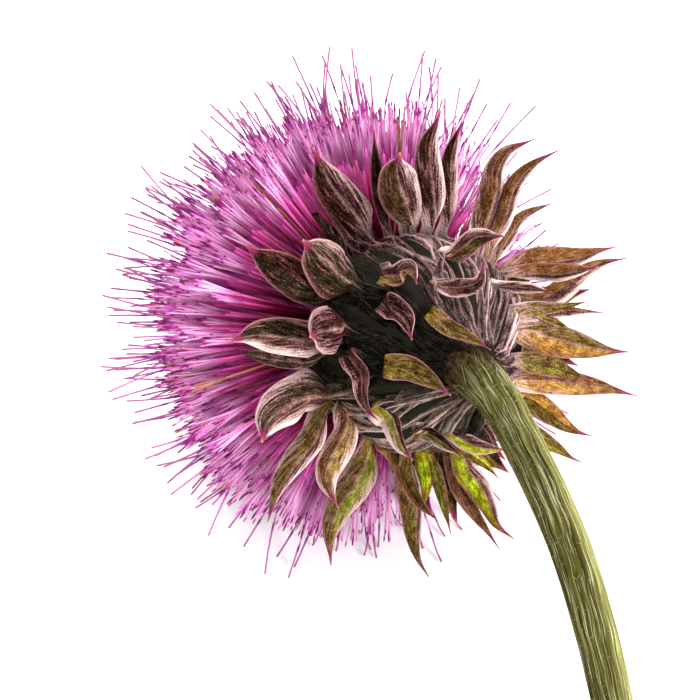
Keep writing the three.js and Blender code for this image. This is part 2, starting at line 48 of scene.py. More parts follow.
GOLDEN_ANGLE = math.pi * (3 - math.sqrt(5))
print("solids:", ", ".join(frame["nodes"]))

# %% [markdown]
# The photograph fixes where everything is. One pixel is an eighth of a millimetre at the middle of the ball
# of florets, so the eye, its direction and the head's own axis follow from a handful of sizes. The camera
# comes first, because the pieces that show are placed along its sight lines.

# %% The eye and the head's axis
BALL_HEIGHT = 24.5
CAMERA_ELEVATION = math.radians(55)
CAMERA_DISTANCE = 486
CAMERA_LENS = 200
SENSOR_WIDTH = 36
PICTURE_SIZE = 700
PIXEL_SIZE = CAMERA_DISTANCE * SENSOR_WIDTH / CAMERA_LENS / PICTURE_SIZE
BALL_CENTRE_PIXEL = (368, 320)
HEAD_TURN = math.radians(38)
HEAD_LEAN = (-0.905, 0.425)


def unit(vectors):
    """Each vector divided by its own length."""
    return vectors / np.linalg.norm(vectors, axis=-1, keepdims=True)


RIGHT = np.array([1.0, 0, 0])
UP = np.array([0, math.sin(CAMERA_ELEVATION), math.cos(CAMERA_ELEVATION)])
TOWARDS = np.array([0, -math.cos(CAMERA_ELEVATION), math.sin(CAMERA_ELEVATION)])
BALL_CENTRE = np.array([0, 0, BALL_HEIGHT])
lean = unit(HEAD_LEAN[0] * RIGHT + HEAD_LEAN[1] * UP)
AXIS = math.sin(HEAD_TURN) * lean - math.cos(HEAD_TURN) * TOWARDS
SIDE = math.cos(HEAD_TURN) * lean + math.sin(HEAD_TURN) * TOWARDS
CROSS = np.cross(AXIS, SIDE)
MIDDLE = PICTURE_SIZE / 2
EYE = (BALL_CENTRE
       + (MIDDLE - BALL_CENTRE_PIXEL[0]) * PIXEL_SIZE * RIGHT
       + (BALL_CENTRE_PIXEL[1] - MIDDLE) * PIXEL_SIZE * UP
       + CAMERA_DISTANCE * TOWARDS)

camera_data = bpy.data.cameras.new("photograph")
camera_data.lens = CAMERA_LENS
camera_data.sensor_width = SENSOR_WIDTH
camera = bpy.data.objects.new("photograph", camera_data)
camera.location = EYE * MM
camera.rotation_euler = (math.pi / 2 - CAMERA_ELEVATION, 0, 0)
bpy.context.collection.objects.link(camera)
bpy.context.scene.camera = camera
print(f"one pixel is {PIXEL_SIZE:.4f} mm at the ball's centre")


# %% Places on a sight line and round the head
def sight_line(pixel):
    """The unit direction from the eye through a pixel: ahead, plus the pixel's offset right and up."""
    pixels_away = CAMERA_DISTANCE / PIXEL_SIZE
    offset = (pixel[0] - MIDDLE) * RIGHT + (MIDDLE - pixel[1]) * UP
    return unit(-TOWARDS + offset / pixels_away)


def point_seen(pixel, nearer):
    """The point on a pixel's sight line that is nearer the eye than the ball's centre by a given distance."""
    line = sight_line(pixel)
    return EYE + line * (CAMERA_DISTANCE - nearer) / -(line @ TOWARDS)


def outward(angle):
    """The direction across the head's axis at an angle: SIDE cos(angle) + CROSS sin(angle)."""
    angle = np.asarray(angle)[..., None]
    return SIDE * np.cos(angle) + CROSS * np.sin(angle)


def head_point(radius, place, angle):
    """Ball centre + AXIS place + outward(angle) radius."""
    radius, place = np.asarray(radius), np.asarray(place)
    return BALL_CENTRE + place[..., None] * AXIS + radius[..., None] * outward(angle)


def head_place(points):
    """A point's distance from the axis, its place along it and its angle round it."""
    away = points - BALL_CENTRE
    side, cross = away @ SIDE, away @ CROSS
    return np.hypot(side, cross), away @ AXIS, np.arctan2(cross, side)


def smooth_step(value, low, high):
    """3 t^2 - 2 t^3 for t going from 0 at low to 1 at high."""
    t = np.clip((value - low) / (high - low), 0, 1)
    return t * t * (3 - 2 * t)


def draw(items, series):
    """A fixed draw between 0 and 1: the fraction of sin(12.9898 i + 78.233 k) 43758.5453."""
    wave = np.sin(np.asarray(items) * 12.9898 + series * 78.233) * 43758.5453
    return wave - np.floor(wave)


# %% [markdown]
# Everything that grew here is a body carried along a line: a stem, a style, a petal lobe and a spiny bract
# are all rings of points strung on a path. So one set of faces serves them all. The rings of many bodies are
# computed as one array, and no Python loop over vertices runs.

# %% Faces for rings of points, and the mesh
def loft_faces(bodies, rings, sides):
    """Quads between neighbouring rings, and one face over each end, for bodies x rings x sides points."""
    body, ring, side = np.meshgrid(np.arange(bodies), np.arange(rings - 1), np.arange(sides), indexing="ij")
    here = (body * rings + ring) * sides
    beside = (side + 1) % sides
    quads = np.stack([here + side, here + beside, here + sides + beside, here + sides + side], -1)
    first = np.arange(bodies)[:, None] * rings * sides
    turn = np.arange(sides)[None]
    last = first + (rings - 1) * sides
    return [quads.reshape(-1, 4), first + turn[:, ::-1], last + turn]


def make_piece(name, points, faces, material, uv=None, colours=None, vectors=None):
    """A mesh object from points in millimetres, arrays of faces, and values for each point."""
    mesh = bpy.data.meshes.new(name)
    points = points.reshape(-1, 3)
    loops = np.concatenate([face.ravel() for face in faces]).astype(np.int32)
    sizes = np.concatenate([np.full(len(face), face.shape[1]) for face in faces])
    starts = np.concatenate([[0], np.cumsum(sizes)[:-1]]).astype(np.int32)
    mesh.vertices.add(len(points))
    mesh.vertices.foreach_set("co", (points * MM).astype(np.float32).ravel())
    mesh.loops.add(len(loops))
    mesh.loops.foreach_set("vertex_index", loops)
    mesh.polygons.add(len(sizes))
    mesh.polygons.foreach_set("loop_start", starts)
    mesh.update(calc_edges=True)
    mesh.polygons.foreach_set("use_smooth", np.ones(len(sizes), bool))
    if uv is not None:
        layer = mesh.uv_layers.new(name="skin")
        layer.data.foreach_set("uv", uv.reshape(-1, 2)[loops].astype(np.float32).ravel())
    for label, values in (colours or {}).items():
        attribute = mesh.attributes.new(label, "FLOAT_COLOR", "POINT")
        rgba = np.concatenate([values.reshape(-1, 3), np.ones((len(points), 1))], 1)
        attribute.data.foreach_set("color", rgba.astype(np.float32).ravel())
    for label, values in (vectors or {}).items():
        attribute = mesh.attributes.new(label, "FLOAT_VECTOR", "POINT")
        attribute.data.foreach_set("vector", values.reshape(-1, 3).astype(np.float32).ravel())
    mesh.materials.append(material)
    piece = bpy.data.objects.new(name, mesh)
    bpy.context.collection.objects.link(piece)
    print(f"{name}: {int((sizes - 2).sum())} triangles")
    return piece


def ring_frames(paths, hint):
    """For each point of a path its direction, and two unit vectors across it, the first nearest to hint."""
    along = unit(np.gradient(paths, axis=-2))
    hint = np.broadcast_to(hint, along.shape)
    across = unit(hint - np.sum(hint * along, -1, keepdims=True) * along)
    return along, across, np.cross(along, across)


def turns(count):
    """Angles once round in equal steps."""
    return np.arange(count) * 2 * math.pi / count


def tubes(paths, radii, sides, hint, spin=0.0):
    """Rings round paths: path + radius (across cos t + beside sin t), for t once round in equal steps."""
    _, across, beside = ring_frames(paths, hint)
    turn = np.reshape(spin, (-1, 1, 1, 1)) + turns(sides)[:, None]
    rim = across[..., None, :] * np.cos(turn) + beside[..., None, :] * np.sin(turn)
    return paths[..., None, :] + np.broadcast_to(radii, paths.shape[:2])[..., None, None] * rim


def smooth_line(knots, count):
    """A Catmull-Rom line through knots: cubic pieces whose slope at a knot is half the step past it."""
    knots = np.asarray(knots, float)
    ends = np.concatenate([[2 * knots[0] - knots[1]], knots, [2 * knots[-1] - knots[-2]]])
    place = np.linspace(0, len(knots) - 1, count)
    piece = np.minimum(place.astype(int), len(knots) - 2)
    t = (place - piece)[:, None]
    a, b, c, d = (ends[piece + i] for i in range(4))
    curve = 2 * b + (c - a) * t + (2 * a - 5 * b + 4 * c - d) * t**2 + (3 * b - a - 3 * c + d) * t**3
    return 0.5 * curve


def arc_length(line):
    """How far along the line each of its points lies, from 0 at the first."""
    return np.concatenate([[0], np.cumsum(np.linalg.norm(np.diff(line, axis=0), axis=1))])


def tinted_piece(name, parts, material):
    """One mesh of several lofted arrays: their points, faces with their numbers moved on, and tints."""
    points, faces, tints, offset = [], [], [], 0
    for rings, tint in parts:
        bodies, count, sides = rings.shape[:3]
        points.append(rings.reshape(-1, 3))
        tints.append(np.broadcast_to(tint[:, :, None], rings.shape).reshape(-1, 3))
        faces += [face + offset for face in loft_faces(bodies, count, sides)]
        offset += bodies * count * sides
    return make_piece(name, np.concatenate(points), faces, material, colours={"tint": np.concatenate(tints)})


def turned_piece(name, outline, relief, material, lengthwise, girth):
    """A mesh turned round the head's axis from radii and places, with a relief of rings x sides added to the
    radius. Its UV map runs lengthwise, and girth times the turn across."""
    rings, sides = relief.shape
    radius, place, turn = outline[:, :1], outline[:, 1:], turns(sides)
    points = head_point(radius + relief, place + 0 * turn, turn + 0 * radius)
    return make_piece(name, points, loft_faces(1, rings, sides), material,
                      uv=np.stack(np.broadcast_arrays(lengthwise[:, None], girth * turn), -1))


# %% [markdown]
# Colour comes from two sources here. What changes along a part, such as a lobe's dark tip, is worked out
# with its shape and stored on the mesh. What changes over its skin, such as streaks and specks, is made by
# noise in the material. Petals and bracts are thin enough for light to pass, so each mixes some Translucent
# shader in.

# %% Shader helpers
def linear(code):
    """A hexadecimal screen colour as linear red, green and blue: ((c + 0.055) / 1.055) ^ 2.4."""
    screen = np.array([int(code[i:i + 2], 16) for i in (0, 2, 4)]) / 255
    return np.where(screen <= 0.04045, screen / 12.92, ((screen + 0.055) / 1.055) ** 2.4)


def shaded(first, second, share):
    """A colour that lies a share of the way from the first to the second, for an array of shares."""
    return first + (second - first) * share[..., None]


def add_node(tree, kind, feeds=None, **settings):
    """A node with its settings. Its sockets, by name or number, are fed by other nodes' outputs, or set to
    numbers or to the codes of colours."""
    node = tree.nodes.new(kind)
    node.location = (200 * len(tree.nodes), 0)
    for key, value in settings.items():
        setattr(node, key, value)
    for key, value in (feeds or {}).items():
        if isinstance(value, bpy.types.NodeSocket):
            tree.links.new(value, node.inputs[key])
        else:
            node.inputs[key].default_value = (*linear(value), 1) if isinstance(value, str) else value
    return node


def worked(tree, operation, *values):
    """A Math node's result."""
    return add_node(tree, "ShaderNodeMath", dict(enumerate(values)), operation=operation).outputs[0]


def mixed(tree, factor, first, second, blend="MIX"):
    """A colour mix whose factor and sides are outputs, colours or numbers."""
    feeds = {0: factor, 6: first, 7: second}
    return add_node(tree, "ShaderNodeMix", feeds, data_type="RGBA", blend_type=blend).outputs[2]


def ramp(tree, value, low, high, top=1.0):
    """A value's share of the way from low to high, times top."""
    feeds = {"Value": value, "From Min": low, "From Max": high, "To Max": top}
    return add_node(tree, "ShaderNodeMapRange", feeds).outputs["Result"]


def grain_of(tree, scale, detail=1.0):
    """Noise in space with so many changes a metre."""
    place = add_node(tree, "ShaderNodeTexCoord").outputs["Object"]
    feeds = {"Vector": place, "Scale": scale, "Detail": detail}
    return add_node(tree, "ShaderNodeTexNoise", feeds).outputs["Fac"]


def stored(tree, label, output="Color"):
    """What the mesh stores under a label."""
    return add_node(tree, "ShaderNodeAttribute", attribute_name=label).outputs[output]


def streak_group():
    """Noise drawn out along the first direction of the UV map, as fibres are. Its inputs are the changes a
    millimetre along and across, and the values of the noise that give 0 and 1."""
    tree = bpy.data.node_groups.new("fibre streaks", "ShaderNodeTree")
    for name in ("Along", "Across", "Low", "High"):
        tree.interface.new_socket(name, in_out="INPUT", socket_type="NodeSocketFloat")
    tree.interface.new_socket("Streak", in_out="OUTPUT", socket_type="NodeSocketFloat")
    inlet = add_node(tree, "NodeGroupInput").outputs
    uv = add_node(tree, "ShaderNodeUVMap", uv_map="skin").outputs["UV"]
    stretch = add_node(tree, "ShaderNodeCombineXYZ", {"X": inlet["Along"], "Y": inlet["Across"]}).outputs[0]
    scaled = add_node(tree, "ShaderNodeVectorMath", {0: uv, 1: stretch}, operation="MULTIPLY").outputs[0]
    feeds = {"Vector": scaled, "Scale": 1.0, "Detail": 4.0, "Roughness": 0.6}
    noise = add_node(tree, "ShaderNodeTexNoise", feeds).outputs["Fac"]
    add_node(tree, "NodeGroupOutput", {"Streak": ramp(tree, noise, inlet["Low"], inlet["High"])})
    return tree


STREAKS = streak_group()


def streaks(tree, along, across, low=0.32, high=0.68):
    """Streaks with so many changes a millimetre along and across, which are 0 below low and 1 above high."""
    feeds = {"Along": along, "Across": across, "Low": low, "High": high}
    return add_node(tree, "ShaderNodeGroup", feeds, node_tree=STREAKS).outputs["Streak"]


def tinted(scale, detail):
    """The colour function of a mesh's own tint under soft noise."""
    def colour_of(tree):
        return mixed(tree, grain_of(tree, scale, detail), stored(tree, "tint"), "ffffff", "SOFT_LIGHT")
    return colour_of


def thin_material(name, colour_of, roughness, through, bump_of=None, bump_depth=0.0):
    """Principled and Translucent shaders of one colour, mixed by how much light passes."""
    material = bpy.data.materials.new(name)
    material.use_nodes = True
    tree = material.node_tree
    tree.nodes.clear()
    skin = {"Base Color": colour_of(tree), "Roughness": roughness, "Specular IOR Level": 0.0}
    if bump_of is not None:
        relief = {"Strength": 0.7, "Distance": bump_depth * MM, "Height": bump_of(tree)}
        skin["Normal"] = add_node(tree, "ShaderNodeBump", relief).outputs["Normal"]
    face = add_node(tree, "ShaderNodeBsdfPrincipled", skin).outputs["BSDF"]
    back = add_node(tree, "ShaderNodeBsdfTranslucent", {"Color": skin["Base Color"]}).outputs["BSDF"]
    blend = add_node(tree, "ShaderNodeMixShader", {0: through, 1: face, 2: back}).outputs["Shader"]
    add_node(tree, "ShaderNodeOutputMaterial", {"Surface": blend})
    return material


# %% [markdown]
# The stem is the stalk that carries the head. It is ribbed, with a pale line on each rib and a darker green
# between them, and it stands in the bowl's underside. Its line is the one the photograph shows, and it goes
# on past the picture's edge until its cut end meets the surface.

# %% The stem's line and ribs
STEM_LINE = [((459, 361), 14.6), ((467, 366), 18.0), ((480, 376), 20.6), ((501, 402), 22.6),
             ((521, 440), 23.6), ((550, 500), 24.0), ((575, 562), 23.0), ((597, 636), 20.8),
             ((613, 705), 18.2), ((624, 758), 16.3), ((636, 816), 13.8)]
STEM_SIDES = 104
STEM_RINGS = 220
COLLAR_HEIGHT = 1.5
COLLAR_FADE = 26
FLARE_HEIGHT = 2.0
FLARE_SHARE = 0.2
STEM_RADIUS = 2.5
NECK_RADIUS = 2.85
STEM_RIBS = 13
stem_line = smooth_line([point_seen(pixel, nearer) for pixel, nearer in STEM_LINE], STEM_RINGS)


def stem_surface(line):
    """Rings round the line, wider at the head: radius + collar e^(-c share) + flare e^(-(share / f)^2) on the
    inner side of its bend + rib height (0.5 + 0.5 cos)^1.5, with ribs that wander along the stem."""
    share = np.linspace(0, 1, len(line))[:, None]
    turn = turns(STEM_SIDES)[None]
    _, across, beside = ring_frames(line, RIGHT)
    wander = 0.35 * np.sin(5 * share + 0.4) + 0.12 * np.sin(17 * share)
    ribs = 0.5 + 0.5 * np.cos(STEM_RIBS * (turn + wander * 0.25) + 0.5 * np.sin(3 * turn))
    fine = np.sin(4 * STEM_RIBS * turn + 9 * np.sin(2 * share)) * 0.02
    neck = (NECK_RADIUS - STEM_RADIUS) * np.exp(-9 * share) + COLLAR_HEIGHT * np.exp(-COLLAR_FADE * share)
    flare = FLARE_HEIGHT * np.exp(-(share / FLARE_SHARE) ** 2) * (0.5 - 0.5 * np.cos(turn)) ** 1.5
    radius = STEM_RADIUS + neck + flare - 0.08 + 0.09 * ribs**1.5 + fine
    radius = radius * (1 + 0.02 * np.sin(11 * share + 2 * turn))
    rim = across[:, None] * np.cos(turn)[..., None] + beside[:, None] * np.sin(turn)[..., None]
    return line[:, None] + radius[..., None] * rim, ribs, share + 0 * turn, turn + 0 * share


def fibres(tree, along, across, low, high, strength):
    """Streaks times a strength."""
    return worked(tree, "MULTIPLY", streaks(tree, along, across, low, high), strength)


def stem_colour(tree):
    """Dark olive ground with paler ribs, cream fibres over both, a painted highlight down one side, and brown
    at the head.
    """
    side = add_node(tree, "ShaderNodeSeparateColor", {"Color": stored(tree, "side")}).outputs
    ground = mixed(tree, streaks(tree, 0.12, 3.4, 0.38, 0.6), "15160a", "403c1c")
    ribbed = mixed(tree, side["Red"], ground, "66662a")
    pale = mixed(tree, fibres(tree, 0.1, 5.0, 0.54, 0.63, 0.5), ribbed, "a49c60")
    # Painted highlight: a paler yellow-green down one side of the stem, mixed in by the side's blue.
    lighter = mixed(tree, streaks(tree, 0.1, 3.0, 0.38, 0.6), "5c602c", "c0bc74")
    bright = mixed(tree, side["Blue"], pale, lighter)
    skin = mixed(tree, fibres(tree, 0.14, 7.0, 0.57, 0.66, 0.6), bright, "e2dcb4")
    brown = mixed(tree, streaks(tree, 0.8, 2.4, 0.4, 0.6), "120b08", "4a3624")
    return mixed(tree, side["Green"], skin, brown)


STEM_SKIN = thin_material("stem skin", stem_colour, roughness=0.6, through=0.1,
                          bump_of=lambda tree: streaks(tree, 0.5, 8.0), bump_depth=0.15)
stem_points, stem_ribs, stem_share, stem_turn = stem_surface(stem_line)
stem_points[..., 2] = np.maximum(stem_points[..., 2], 0.02)
stem_length = arc_length(stem_line)[-1]
stem_wander = 0.07 * np.sin(90 * stem_share + 3 * stem_turn) + 0.35 * np.sin(13 * stem_share + stem_turn)
# Painted highlight: a share for the side of the stem turned to the right, where light falls.
stem_painted_highlight = smooth_step(np.cos(stem_turn - 0.1), 0.55, 1.0)
root_edge = 0.205 + 0.02 * np.sin(7 * stem_turn) + 0.015 * np.sin(16 * stem_turn + 1)
stem_root = 1 - smooth_step(stem_share, root_edge - 0.04, root_edge + 0.04)
# The brown at the head gives way to the painted highlight.
stem_root = stem_root * (0.97 - 0.8 * stem_painted_highlight)
stem = make_piece("stem", stem_points, loft_faces(1, len(stem_line), STEM_SIDES), STEM_SKIN,
                  uv=np.stack([stem_share * stem_length, stem_turn * STEM_RADIUS + stem_wander], -1),
                  colours={"side": np.stack([0.4 * stem_ribs**2, stem_root, 0.55 * stem_painted_highlight], -1)})
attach(stem, "root")
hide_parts("peduncle")
print(f"the stem is {stem_length:.0f} mm long")

# %% [markdown]
# Thistle stems are dressed in a cobweb of fine hair, thickest under the head, where it is brown. Short hairs
# stand off the skin, which softens the stem's outline, and longer threads lie on it. Both start from points
# of the stem's own surface, so they need no fitting.

# %% Hairs and cobweb threads on the stem
HAIR_COUNT = 2200
THREAD_COUNT = 44
THREAD_RINGS = 18


def on_stem(share, turn, lift):
    """Points of the stem's grid at a share of its length and a turn round it, blended from the four nearest,
    and pushed away from its line."""
    rings, sides = stem_points.shape[:2]
    ring, side = share * (rings - 1), np.mod(turn, 2 * math.pi) / (2 * math.pi) * sides
    low, left = np.clip(ring.astype(int), 0, rings - 2), side.astype(int) % sides
    up, over = (ring - low)[..., None], (side - side.astype(int))[..., None]
    right = (left + 1) % sides
    skin = ((1 - up) * ((1 - over) * stem_points[low, left] + over * stem_points[low, right])
            + up * ((1 - over) * stem_points[low + 1, left] + over * stem_points[low + 1, right]))
    centre = stem_line[low] * (1 - up) + stem_line[low + 1] * up
    return skin + unit(skin - centre) * lift[..., None]


HAIR = thin_material("hair", tinted(1500, detail=2.0), roughness=0.7, through=0.4)
hair = np.arange(HAIR_COUNT)[:, None]
hair_t = np.array([0, 0.35, 0.7, 1.0])
hair_root = 0.05 + 0.93 * draw(hair, 71) ** 2.2
tangle = 1 + 2.5 * (1 - smooth_step(hair_root, 0.14, 0.24))
hair_share = hair_root + 0.007 * tangle * (draw(hair, 72) - 0.4) * hair_t**1.5
hair_turn = 2 * math.pi * draw(hair, 73) + 0.35 * tangle * (draw(hair, 74) - 0.5) * hair_t**1.5
hair_lines = on_stem(hair_share, hair_turn, -0.05 + (0.15 + 0.3 * draw(hair, 75)) * tangle**0.6 * hair_t)
thread = np.arange(THREAD_COUNT)[:, None]
thread_t = np.linspace(0, 1, THREAD_RINGS)
thread_share = 0.16 + 0.74 * draw(thread, 76) ** 1.3 + (0.03 + 0.07 * draw(thread, 77)) * thread_t
curl = 0.03 + 0.14 * draw(thread, 78) ** 3
thread_turn = (2 * math.pi * draw(thread, 79) + 0.6 * (draw(thread, 80) - 0.5) * thread_t
               + curl * np.sin(thread_t * (2 + 6 * draw(thread, 81)) + 6 * draw(thread, 82)))
thread_lines = on_stem(thread_share, thread_turn, 0.04 + 0.06 * np.sin(math.pi * thread_t) + 0 * thread)
hair_rings = tubes(hair_lines, [0.018, 0.015, 0.012, 0.007], 3, RIGHT + 0.2 * UP)
thread_rings = tubes(thread_lines, 0.016, 3, RIGHT + 0.2 * UP)
hair_tint = shaded(linear("b4a680"), linear("3a2a1e"), 1 - smooth_step(hair_root, 0.19, 0.26))
hair_tint = hair_tint * (0.4 + draw(hair, 83)[..., None])
thread_tint = linear("c8bc90") * (0.4 + draw(thread, 84)[..., None])
cobweb = tinted_piece("cobweb", [(hair_rings, hair_tint), (thread_rings, thread_tint)], HAIR)
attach(cobweb, "root")
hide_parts("peduncle")

# %% [markdown]
# The bowl under the florets is covered by the feet of its bracts, one over the other like tiles. A bract's
# foot is a strap that lies on the bowl. Above it the limb bends away: a stiff blade folded along its keel,
# widest before the middle, that ends in a spine. Each bract that the photograph shows is placed by the pixels
# of its keel, from foot to tip, with its real length, which says how far it leans to or from the eye. `sides`
# holds how many pixels of each half show, on the left and on the right as one looks from foot to tip: the two
# halves are equally wide in truth, so the rest of each half is depth.

# %% The bowl's outline, and where a bract stands on it
BOWL_OUTLINE = np.array([(3, -23.5), (9.2, -19.3), (12.3, -14), (12.8, -8.5), (10.9, -3.6)])


def bowl_radius(place):
    """The bowl's radius at a place on the axis, by straight pieces of its outline."""
    return np.interp(place, BOWL_OUTLINE[:, 1], BOWL_OUTLINE[:, 0])


def foot_seen(pixel):
    """Place and angle where a sight line first meets the bowl, or passes nearest."""
    reach = np.arange(CAMERA_DISTANCE - 40, CAMERA_DISTANCE + 30, 0.1)
    radius, place, angle = head_place(EYE + reach[:, None] * sight_line(pixel))
    beside = (place > BOWL_OUTLINE[0, 1]) & (place < BOWL_OUTLINE[-1, 1])
    gap = np.where(beside, radius - bowl_radius(place), np.inf)
    best = np.argmax(gap <= 0) if (gap <= 0).any() else np.argmin(gap)
    return place[best], angle[best]


def tip_seen(foot, pixel, reach, nearer):
    """The point on a sight line at a given distance from the foot, on its nearer or farther side."""
    line = sight_line(pixel)
    to_foot = foot - EYE
    nearest = to_foot @ line
    spare = reach**2 - (to_foot @ to_foot - nearest**2)
    shift = math.sqrt(max(spare, 0))
    return EYE + line * (nearest - shift if nearer else nearest + shift)


# %% A bract's surface
CLAW_STEPS = 5
CLAW_HALF_WIDTH = 0.95
LIMB_PLACES = [0, 0.1, 0.3, 0.5, 0.68, 0.8, 0.88, 1]
LEAF = dict(widths=[0.38, 0.64, 1.0, 0.95, 0.66, 0.35, 0.13, 0.03], lift=0.45, begins=(-0.06, 0.12),
            colours=(-0.1, 0.03), level=0)
BLUNT = dict(widths=[0.85, 1.0, 0.98, 0.82, 0.56, 0.3, 0.12, 0.03], lift=1.3, begins=(-0.03, 0.012),
             colours=(-0.05, -0.01), level=0.14)
KEEL_ROUNDNESS = 0.05
FINE_COLUMNS = np.array([0, 0.05, 0.16, 0.32, 0.5, 0.66, 0.8, 0.9, 0.96, 1])
FEW_COLUMNS = np.array([0, 0.15, 0.4, 0.7, 0.92, 1])
FULL_THICKNESS = 0.5
FINE_STEPS = 60
STRAP_PART = 3
STRAP_START = -0.4
VEIN_SLANT = 0.2


def limb_through(keel, foot, angle, reach, nearer):
    """The keel's points in space, on their pixels' sight lines. Their depths follow a quadratic from the
    foot's depth, over that of a bend which stands off the bowl, to the tip's depth."""
    tip = tip_seen(foot, keel[-1], reach, nearer)
    bend = 0.88 * (foot + unit(outward(angle) + 0.25 * AXIS) * reach * 0.34) + 0.12 * tip
    depths = [(point - BALL_CENTRE) @ TOWARDS for point in (foot, bend, tip)]
    steps = np.linalg.norm(np.diff(np.array(keel, float), axis=0), axis=1)
    shares = np.cumsum(steps) / steps.sum()
    return [point_seen(pixel, (1 - t) ** 2 * depths[0] + 2 * t * (1 - t) * depths[1] + t**2 * depths[2])
            for pixel, t in zip(keel[1:], shares)]


def evenly(line, count):
    """The line resampled at equal steps of its length."""
    length = arc_length(line)
    at = np.linspace(0, length[-1], count)
    return np.stack([np.interp(at, length, line[:, k]) for k in range(3)], -1)


def bract_line(place, angle, limb, kind, rings, seed):
    """The line's points, and where each lies: from STRAP_START to 0 on the strap, and from 0 to 1 on the
    limb."""
    foot = head_point(bowl_radius(place) + kind["lift"], place, angle)
    back = place + (BOWL_OUTLINE[0, 1] - 0.3 - place) * np.arange(CLAW_STEPS, 0, -1) / CLAW_STEPS
    lifts = np.linspace(0.3, 0.6, CLAW_STEPS) + 0.05 * (-8 - place) + 0.35 * draw(seed, 23)
    past = (place - back) / 8
    wander = 0.6 * (draw(seed, 24) - 0.5) * past
    wander = wander + 0.08 * np.sin(6 * past + 6 * draw(seed, 27)) * np.minimum(past, 1)
    strap = head_point(bowl_radius(back) + lifts, back, angle + wander)
    knots = np.concatenate([strap, [foot], limb])
    fine = smooth_line(knots, FINE_STEPS * (len(knots) - 1) + 1)
    strap_rings = rings // STRAP_PART
    foot_at = FINE_STEPS * CLAW_STEPS
    line = np.concatenate([evenly(fine[:foot_at + 1], strap_rings + 1)[:-1],
                           evenly(fine[foot_at:], rings - strap_rings)])
    along = np.concatenate([np.linspace(STRAP_START, 0, strap_rings + 1)[:-1],
                            np.linspace(0, 1, rings - strap_rings)])
    return line, along


def bract_frames(line, along, angle, level, facing):
    """Directions across and along each ring, how far it is a thin neck, and 1 or -1 for which half is on the
    right. The strap lies flat, and the limb turns its keel to the eye, or to `facing`. Rings below the level
    keep the limb's direction, so that a broad foot stays straight where the strap folds back under it."""
    direction = unit(np.gradient(line, axis=0))
    direction[1:-1] = unit(direction[:-2] + direction[1:-1] + direction[2:])
    seen = np.cross(direction, unit(EYE - line) if facing is None else facing)
    on_bowl = np.cross(direction[2], outward(angle))
    foot_ring = np.argmax(along >= 0)
    middle = foot_ring + (len(line) - foot_ring) // 3
    side_of_picture = 1.0 if unit(on_bowl) @ seen[middle] > 0 else -1.0
    turned = smooth_step(along, 0.0, 0.3)[:, None]
    across = on_bowl * (1 - turned) + side_of_picture * unit(seen) * turned
    across = unit(across - np.sum(across * direction, -1, keepdims=True) * direction)
    first = np.argmax(along >= level)
    levelled = (smooth_step(along, -0.2, -0.09) * (along < level))[:, None]
    folded = smooth_step(-(direction @ direction[first])[:, None], -0.5, 0.3)
    neck = levelled * folded * (1 - smooth_step(along, -0.05, 0.0))[:, None]
    across = unit(across + (across[first] - across) * levelled)
    direction = unit(direction + (direction[first] - direction) * levelled)
    return across, direction, neck, side_of_picture


